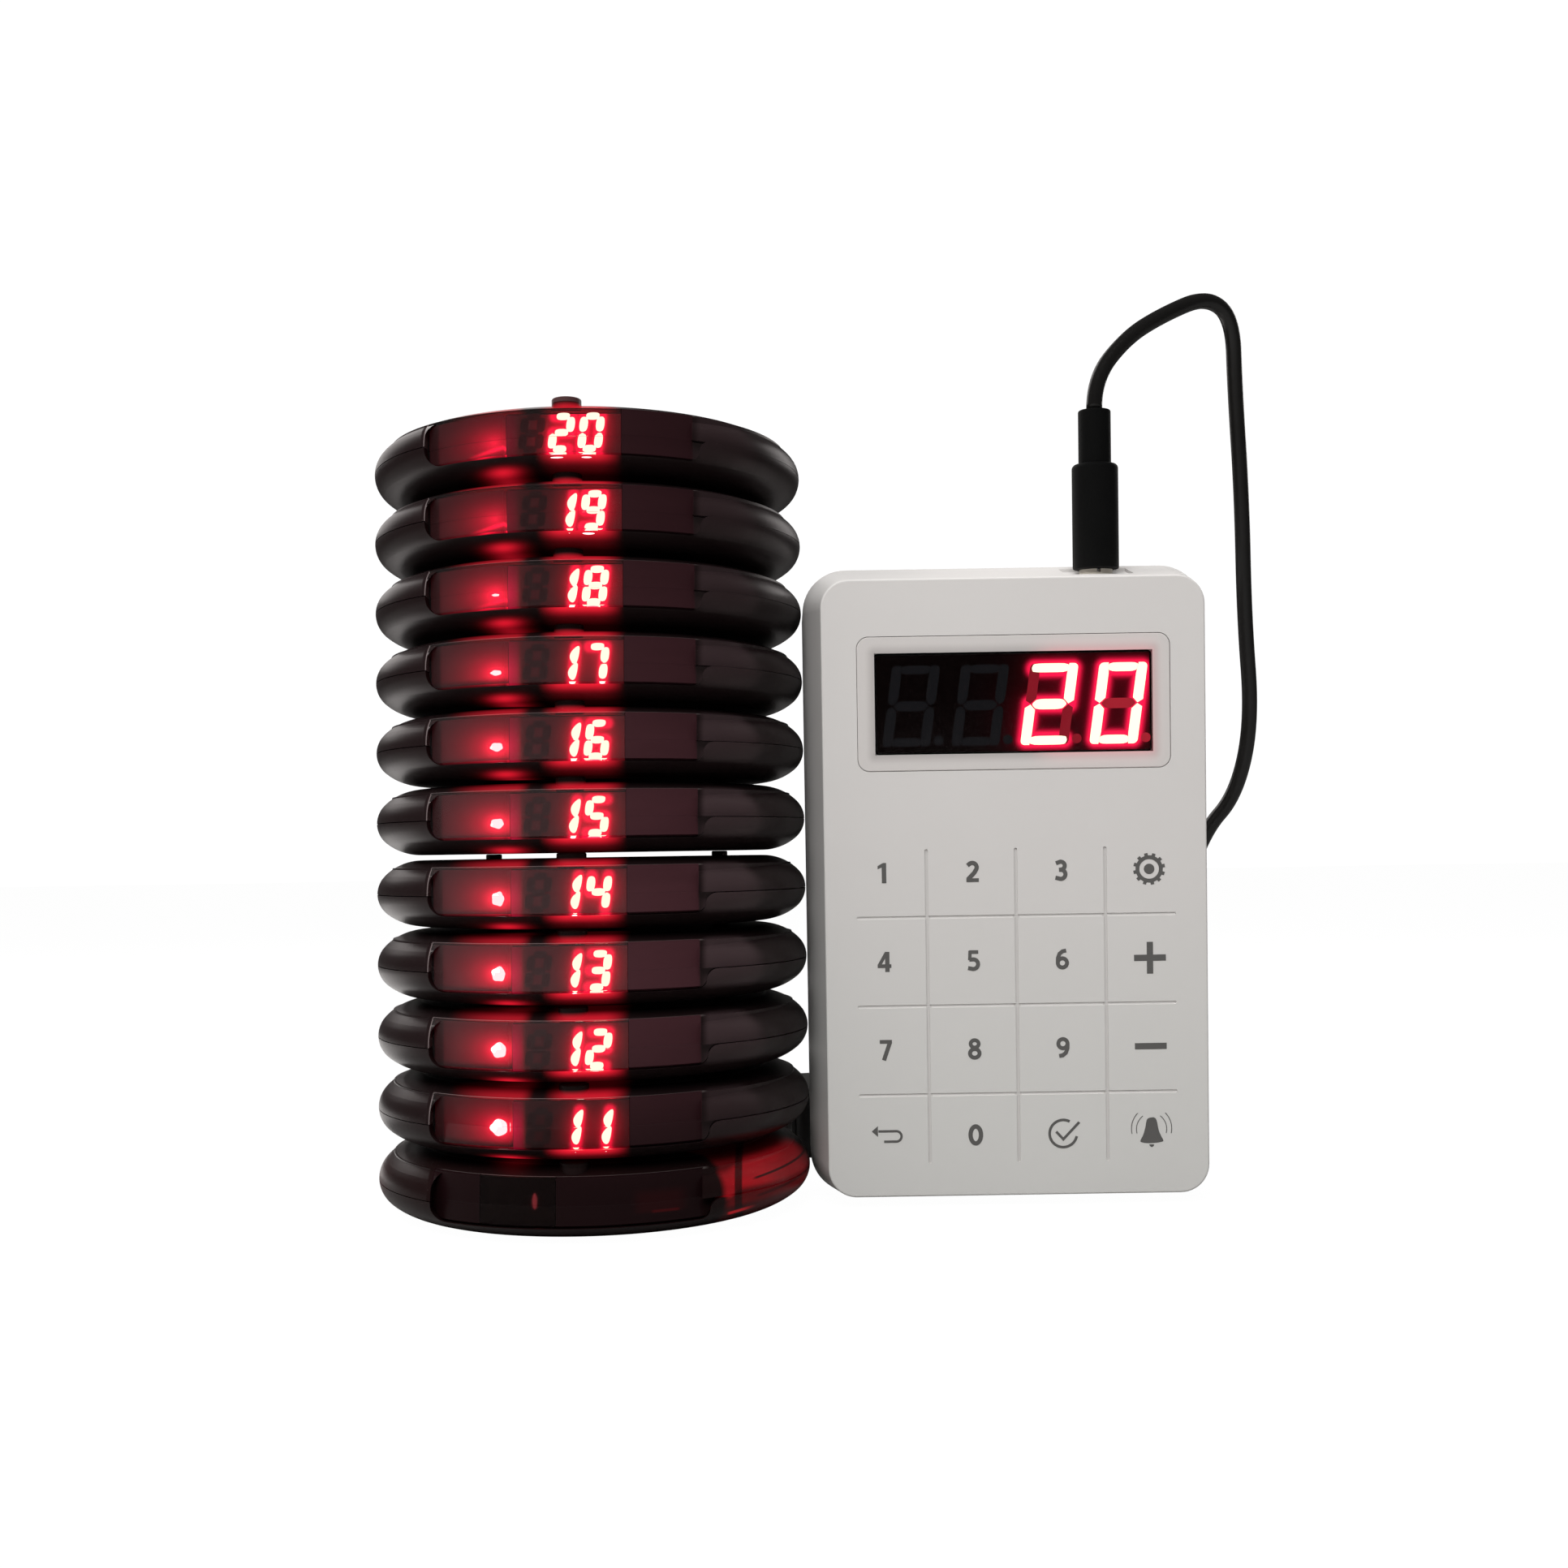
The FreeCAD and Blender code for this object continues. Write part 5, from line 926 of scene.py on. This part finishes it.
lit_bm, dim_bm = bmesh.new(), bmesh.new()
dim_glow = dim_bm.verts.layers.float_color.new("glow")
samples, lines = [], []
for cell, ch in zip(KCX, "  20"):
    on = ON.get(ch, "")
    for s in "abcdefg":
        poly = key_seg_poly(s, on)
        if s in "adg" or ch == " ":
            poly = rounder(poly, 2, 0.16)
        poly = [(cell + x + z * KSL, z + KVC) for x, z in poly]
        if s in on:
            plate(lit_bm, poly, kp, -1.555, -1.515)
            a, b = seg_line(s, KW, KH, KT)
            a, b = (cell + a[0] + a[1] * KSL, a[1] + KVC), (cell + b[0] + b[1] * KSL, b[1] + KVC)
            lines.append((a, b))
            for q in range(9):
                t = q / 8
                samples.append((a[0] + (b[0] - a[0]) * t, a[1] + (b[1] - a[1]) * t))
        else:
            plate(dim_bm, poly, kp, -1.56, -1.535)
    ring = [(cell + 6.7 + 1.2 * math.cos(2 * math.pi * q / 20), 113.3 + 1.2 * math.sin(2 * math.pi * q / 20)) for q in range(20)]
    plate(dim_bm, ring, kp, -1.56, -1.535)
samples = np.array(samples)


def key_glow(x, z):
    d = min(near_line(x, z, a, b) for a, b in lines) - KT / 2
    s1 = spread(x, z, samples, 1.5) / 9.0
    s2 = spread(x, z, samples, 4.0) / 9.0
    hot = math.exp(-(max(d, 0.0) / 0.95) ** 2)
    r = 1.25 * hot + 0.40 * s1 + 0.014 * s2
    return (r + 0.0015, 0.012 * hot + 0.003 * s1 + 0.0008, 0.085 * hot + 0.020 * s1 + 0.001 * s2 + 0.0008)


# painted light: the unlit segments and points glow, red in the cells of the lit digits and a faint grey in the blank
# cells
dim_bm.verts.ensure_lookup_table()
for v in dim_bm.verts:
    q = (v.co - KO) / MM
    if q.dot(KU) > 1.2:
        v[dim_glow] = (0.37, 0.017, 0.030, 1.0) if q.dot(KU) > 17.5 else (0.24, 0.010, 0.019, 1.0)
    else:
        v[dim_glow] = (0.0070, 0.0072, 0.0083, 1.0)
glow_plate("keypad_display_film", [-33.8 + 0.4 * i for i in range(170)], [110.4 + 0.4 * i for i in range(61)], kp, -1.57, -1.59, key_glow, M_FILM, "keypad")
link_mesh("keypad_lit_segments", lit_bm, M_LIT_KEY, "keypad")
link_mesh("keypad_unlit_segments", dim_bm, M_FILM, "keypad")


# ------------------------------------------------------------------ key legends
def arc_pts(cx, cz, r, a0, a1, n=24, rz=None):
    rz = rz or r
    return [(cx + r * math.cos(math.radians(a0 + (a1 - a0) * i / n)), cz + rz * math.sin(math.radians(a0 + (a1 - a0) * i / n))) for i in range(n + 1)]


def stroke(bm, pts, w, u0, v0, closed=False, level=0, taper=None):
    """A flat printed line of width w along the points."""
    n = len(pts)
    lo, hi = 0.0, 0.045 + 0.004 * level
    left, rightp = [], []
    for i, p in enumerate(pts):
        if closed:
            a, b = pts[(i - 1) % n], pts[(i + 1) % n]
        else:
            a, b = pts[max(i - 1, 0)], pts[min(i + 1, n - 1)]
        d1 = Vector((p[0] - a[0], p[1] - a[1]))
        d2 = Vector((b[0] - p[0], b[1] - p[1]))
        if d1.length < 1e-9:
            d1 = d2.copy()
        if d2.length < 1e-9:
            d2 = d1.copy()
        d1.normalize()
        d2.normalize()
        t = (d1 + d2)
        t = t.normalized() if t.length > 1e-6 else d1
        k = max(0.35, t.dot(d1))
        nx, nz = -t.y, t.x
        h = (w if taper is None else w * taper(i / max(1, n - 1))) / 2 / k
        left.append((p[0] + nx * h, p[1] + nz * h))
        rightp.append((p[0] - nx * h, p[1] - nz * h))
    va = [[bm.verts.new(kp(u0 + q[0], v0 + q[1], z)) for q in left] for z in (lo, hi)]
    vb = [[bm.verts.new(kp(u0 + q[0], v0 + q[1], z)) for q in rightp] for z in (lo, hi)]
    m = n if closed else n - 1
    for i in range(m):
        j = (i + 1) % n
        bm.faces.new((va[1][i], vb[1][i], vb[1][j], va[1][j]))
        bm.faces.new((va[0][j], vb[0][j], vb[0][i], va[0][i]))
        bm.faces.new((va[0][i], va[1][i], va[1][j], va[0][j]))
        bm.faces.new((vb[0][j], vb[1][j], vb[1][i], vb[0][i]))
    if not closed:
        bm.faces.new((va[0][0], vb[0][0], vb[1][0], va[1][0]))
        bm.faces.new((va[1][-1], vb[1][-1], vb[0][-1], va[0][-1]))


def blob(bm, poly, u0, v0, level=0):
    plate(bm, poly, lambda x, z, d: kp(u0 + x, v0 + z, d), 0.0, 0.045 + 0.004 * level)


def legend(what, u0, v0):
    bm = bmesh.new()
    grow = 1.17 if what.isdigit() else 1.0
    s = lambda pts, w=0.92, **k: stroke(bm, pts, w * grow, u0, v0, **k)
    if what == "1":
        blob(bm, [(0.67, 2.52), (0.67, -2.52), (-0.45, -2.52), (-0.45, 1.38), (-1.45, 0.98), (-1.45, 1.78), (-0.1, 2.52)], u0, v0)
    elif what == "2":
        s([(-1.22, 1.55)] + arc_pts(-0.05, 1.08, 1.1, 128, -25, 14) + [(0.45, -0.25), (-1.15, -1.9)])
        s([(-1.55, -2.1), (1.55, -2.1)], 0.8, level=1)
    elif what == "3":
        s([(-1.3, 1.75)] + arc_pts(-0.1, 1.15, 0.98, 115, -75, 14) + [(-0.55, 0.12)], 0.88)
        s([(-0.55, 0.12)] + arc_pts(-0.1, -1.0, 1.13, 80, -115, 16) + [(-1.45, -1.8)], 0.88, level=1)
    elif what == "4":
        s([(0.62, 2.5), (0.62, -2.5)], 0.92)
        s([(0.45, 2.35), (-1.42, -0.95)], 0.72, level=1)
        s([(-1.78, -1.05), (1.62, -1.05)], 0.78, level=2)
    elif what == "5":
        s([(1.2, 2.1), (-1.05, 2.1)], 0.78)
        s([(-0.85, 2.45), (-0.95, 0.1)], 0.72, level=1)
        s([(-1.05, 0.25)] + arc_pts(-0.1, -0.9, 1.2, 105, -110, 16) + [(-1.4, -1.85)], 0.86, level=2)
    elif what in "69":
        g = 1 if what == "6" else -1
        s([(g * x, g * z) for x, z in arc_pts(0.05, -0.95, 1.14, 0, 345, 24)], 0.84, closed=True)
        s([(g * x, g * z) for x, z in [(-1.1, -0.9), (-1.05, 0.3), (-0.65, 1.35), (0.1, 1.95), (1.0, 2.12)]], 0.84, level=1)
    elif what == "7":
        s([(-1.55, 2.1), (1.5, 2.1)], 0.8)
        s([(1.05, 2.1), (-0.55, -2.5)], 0.88, level=1)
    elif what == "8":
        s(arc_pts(0, 1.25, 1.0, 0, 345, 22, 0.92), 0.8, closed=True)
        s(arc_pts(0, -1.12, 1.18, 0, 345, 22, 1.08), 0.84, closed=True, level=1)
    elif what == "0":
        s(arc_pts(0, 0, 1.3, 0, 350, 32, 2.12), 0.92, closed=True)
    elif what == "gear":
        s(arc_pts(0, 0, 2.9, 0, 352, 44), 0.95, closed=True)
        blob(bm, arc_pts(0, 0, 1.3, 0, 345, 23), u0, v0, 1)
        for i in range(12):
            a = math.radians(30 * i + 12)
            c, d = math.cos(a), math.sin(a)
            s([(3.2 * c, 3.2 * d), (3.95 * c, 3.95 * d)], 0.86, level=2)
    elif what == "plus":
        q = 0.78
        blob(bm, [(-3.95, q), (-q, q), (-q, 3.95), (q, 3.95), (q, q), (3.95, q), (3.95, -q), (q, -q), (q, -3.95), (-q, -3.95), (-q, -q), (-3.95, -q)], u0, v0)
    elif what == "minus":
        blob(bm, [(-3.95, 0.78), (3.95, 0.78), (3.95, -0.78), (-3.95, -0.78)], u0, v0)
    elif what == "back":
        s([(-2.2, 1.25), (2.2, 1.25)] + arc_pts(2.25, -0.05, 1.3, 85, -85, 14) + [(2.2, -1.35), (-0.8, -1.35)], 0.6)
        blob(bm, [(-3.85, 1.25), (-2.3, 2.55), (-2.3, -0.1)], u0, v0, 1)
    elif what == "check":
        s(arc_pts(-0.2, 0, 3.40, 62, 348, 48), 0.66)
        s([(-1.95, 0.5), (-0.2, -1.42), (3.8, 2.8)], 0.64, level=1)
    elif what == "bell":
        body = [(-0.75, 3.55), (0.55, 3.75), (1.15, 3.3), (1.45, 2.3), (1.75, 0.4), (2.35, -1.0), (2.85, -1.9), (2.95, -2.35),
                (1.2, -2.7), (-1.2, -2.75), (-2.85, -2.45), (-2.75, -1.9), (-2.1, -0.7), (-1.6, 0.9), (-1.35, 2.4), (-1.15, 3.2)]
        blob(bm, rounder(body, 2, 0.2), u0, v0)
        blob(bm, [(-0.62, -3.05), (0.62, -3.05), (0.5, -3.45), (0.1, -3.75), (-0.3, -3.6), (-0.55, -3.35)], u0, v0, 1)
        for sx in (-1, 1):
            s(arc_pts(-sx * 0.4, 0.8, 4.15, 90 - sx * 38, 90 - sx * 105, 14), 0.19, level=2)
            s(arc_pts(-sx * 0.6, 0.9, 5.6, 90 - sx * 46, 90 - sx * 103, 14), 0.19, level=3)
    return link_mesh("key_legend_" + what, bm, M_INK, "keypad")


KEY_U = (-32.7, -10.7, 11.25, 33.0)
KEY_V = (80.75, 58.7, 36.7, 15.2)
for v0, row in zip(KEY_V, (("1", "2", "3", "gear"), ("4", "5", "6", "plus"), ("7", "8", "9", "minus"), ("back", "0", "check", "bell"))):
    for u0, what in zip(KEY_U, row):
        legend(what, u0, v0)

# ------------------------------------------------------------------ base: lamp pieces seen through its right side
bm = bmesh.new()
bmesh.ops.create_uvsphere(bm, u_segments=16, v_segments=10, radius=0.55 * MM)
for v in bm.verts:
    v.co.z *= 3.4
    v.co += Vector((-51.65 - 9.3, -46.6, 8.7 + 0.4)) * MM
link_mesh("base_charge_lamp", bm, mat_emit("charge_lamp", (1.0, 0.16, 0.2), 0.55, (0.2, 0.02, 0.02)), "charging_base", smooth=True)

# ------------------------------------------------------------------ floor, world, lights
bm = bmesh.new()
S = 6.0
grid = [[bm.verts.new((-S + 2 * S * i / 8, -S + 2 * S * j / 8, 0.0)) for i in range(9)] for j in range(9)]
for j in range(8):
    for i in range(8):
        bm.faces.new((grid[j][i], grid[j][i + 1], grid[j + 1][i + 1], grid[j + 1][i]))
me = bpy.data.meshes.new("floor")
bm.to_mesh(me)
bm.free()
floor = bpy.data.objects.new("floor", me)
bpy.context.scene.collection.objects.link(floor)
fm = bpy.data.materials.new("floor_pale")
fm.use_nodes = True
nt = fm.node_tree
fb = nt.nodes["Principled BSDF"]
fb.inputs["Base Color"].default_value = (0.36, 0.355, 0.35, 1)
fb.inputs["Roughness"].default_value = 0.9
fb.inputs["Specular IOR Level"].default_value = 0.1
glow_n = nt.nodes.new("ShaderNodeEmission")
glow_n.inputs["Color"].default_value = (1, 1, 1, 1)
glow_n.inputs["Strength"].default_value = 1.06
lp = nt.nodes.new("ShaderNodeLightPath")
mx = nt.nodes.new("ShaderNodeMixShader")
amt = nt.nodes.new("ShaderNodeMath")
amt.operation = "MULTIPLY"
amt.inputs[1].default_value = 0.93
nt.links.new(lp.outputs["Is Camera Ray"], amt.inputs[0])
nt.links.new(amt.outputs[0], mx.inputs[0])
# mirrored in gloss the floor is dimmer, as under a polariser
dark = nt.nodes.new("ShaderNodeEmission")
dark.inputs["Strength"].default_value = 0.0
dim = nt.nodes.new("ShaderNodeMixShader")
part = nt.nodes.new("ShaderNodeMath")
part.operation = "MULTIPLY"
part.inputs[1].default_value = 0.30
nt.links.new(lp.outputs["Is Glossy Ray"], part.inputs[0])
nt.links.new(part.outputs[0], dim.inputs[0])
nt.links.new(fb.outputs[0], dim.inputs[1])
nt.links.new(dark.outputs[0], dim.inputs[2])
nt.links.new(dim.outputs[0], mx.inputs[1])
nt.links.new(glow_n.outputs[0], mx.inputs[2])
nt.links.new(mx.outputs[0], nt.nodes["Material Output"].inputs["Surface"])
paint(floor, fm)

world = bpy.data.worlds.new("studio")
bpy.context.scene.world = world
world.use_nodes = True
nt = world.node_tree
bg = nt.nodes["Background"]
lp = nt.nodes.new("ShaderNodeLightPath")
bg2 = nt.nodes.new("ShaderNodeBackground")
mx = nt.nodes.new("ShaderNodeMixShader")
bg.inputs["Color"].default_value = (1.0, 0.97, 0.95, 1)
bg.inputs["Strength"].default_value = 0.07
bg2.inputs["Color"].default_value = (1, 1, 1, 1)
bg2.inputs["Strength"].default_value = 1.05
nt.links.new(lp.outputs["Is Camera Ray"], mx.inputs[0])
nt.links.new(bg.outputs[0], mx.inputs[1])
nt.links.new(bg2.outputs[0], mx.inputs[2])
nt.links.new(mx.outputs[0], nt.nodes["World Output"].inputs["Surface"])


def area(name, at, to, size, watts, colour=(1, 1, 1), size_y=None):
    d = bpy.data.lights.new(name, "AREA")
    d.shape = "RECTANGLE"
    d.size = size
    d.size_y = size_y or size
    d.energy = watts
    d.color = colour
    o = bpy.data.objects.new(name, d)
    bpy.context.scene.collection.objects.link(o)
    o.location = at
    o.rotation_euler = (Vector(at) - Vector(to)).to_track_quat("Z", "Y").to_euler()
    return o


left = area("back_left", (-0.62, 0.90, 0.85), (-0.05, 0.0, 0.1), 0.95, 4.6, (1.0, 0.96, 0.94))
low_left = area("floor_left", (-0.70, -0.15, 0.62), (-0.70, -0.15, 0.0), 0.6, 7.5, (1.0, 0.95, 0.93))
card = area("card_left", (-0.2375, 0.2275, 0.003), (-0.2375, 0.2275, -1.0), 0.245, 0.42, (1.0, 0.97, 0.95), size_y=0.385)
card.rotation_euler = (math.pi, 0.0, 0.0)
card.visible_camera = False
card.visible_transmission = False
rightl = area("back_right", (0.75, 0.85, 0.60), (-0.05, 0.0, 0.1), 0.5, 2.0, (1.0, 0.97, 0.95))
front = area("front", (-0.16, -1.00, 1.22), (0.03, 0.0, 0.1), 0.95, 26.5)
top = area("top", (0.0, 0.1, 1.5), (0.0, 0.0, 0.0), 1.2, 7.0)
for lamp in (front, top, low_left):
    lamp.visible_glossy = False
    lamp.visible_transmission = False
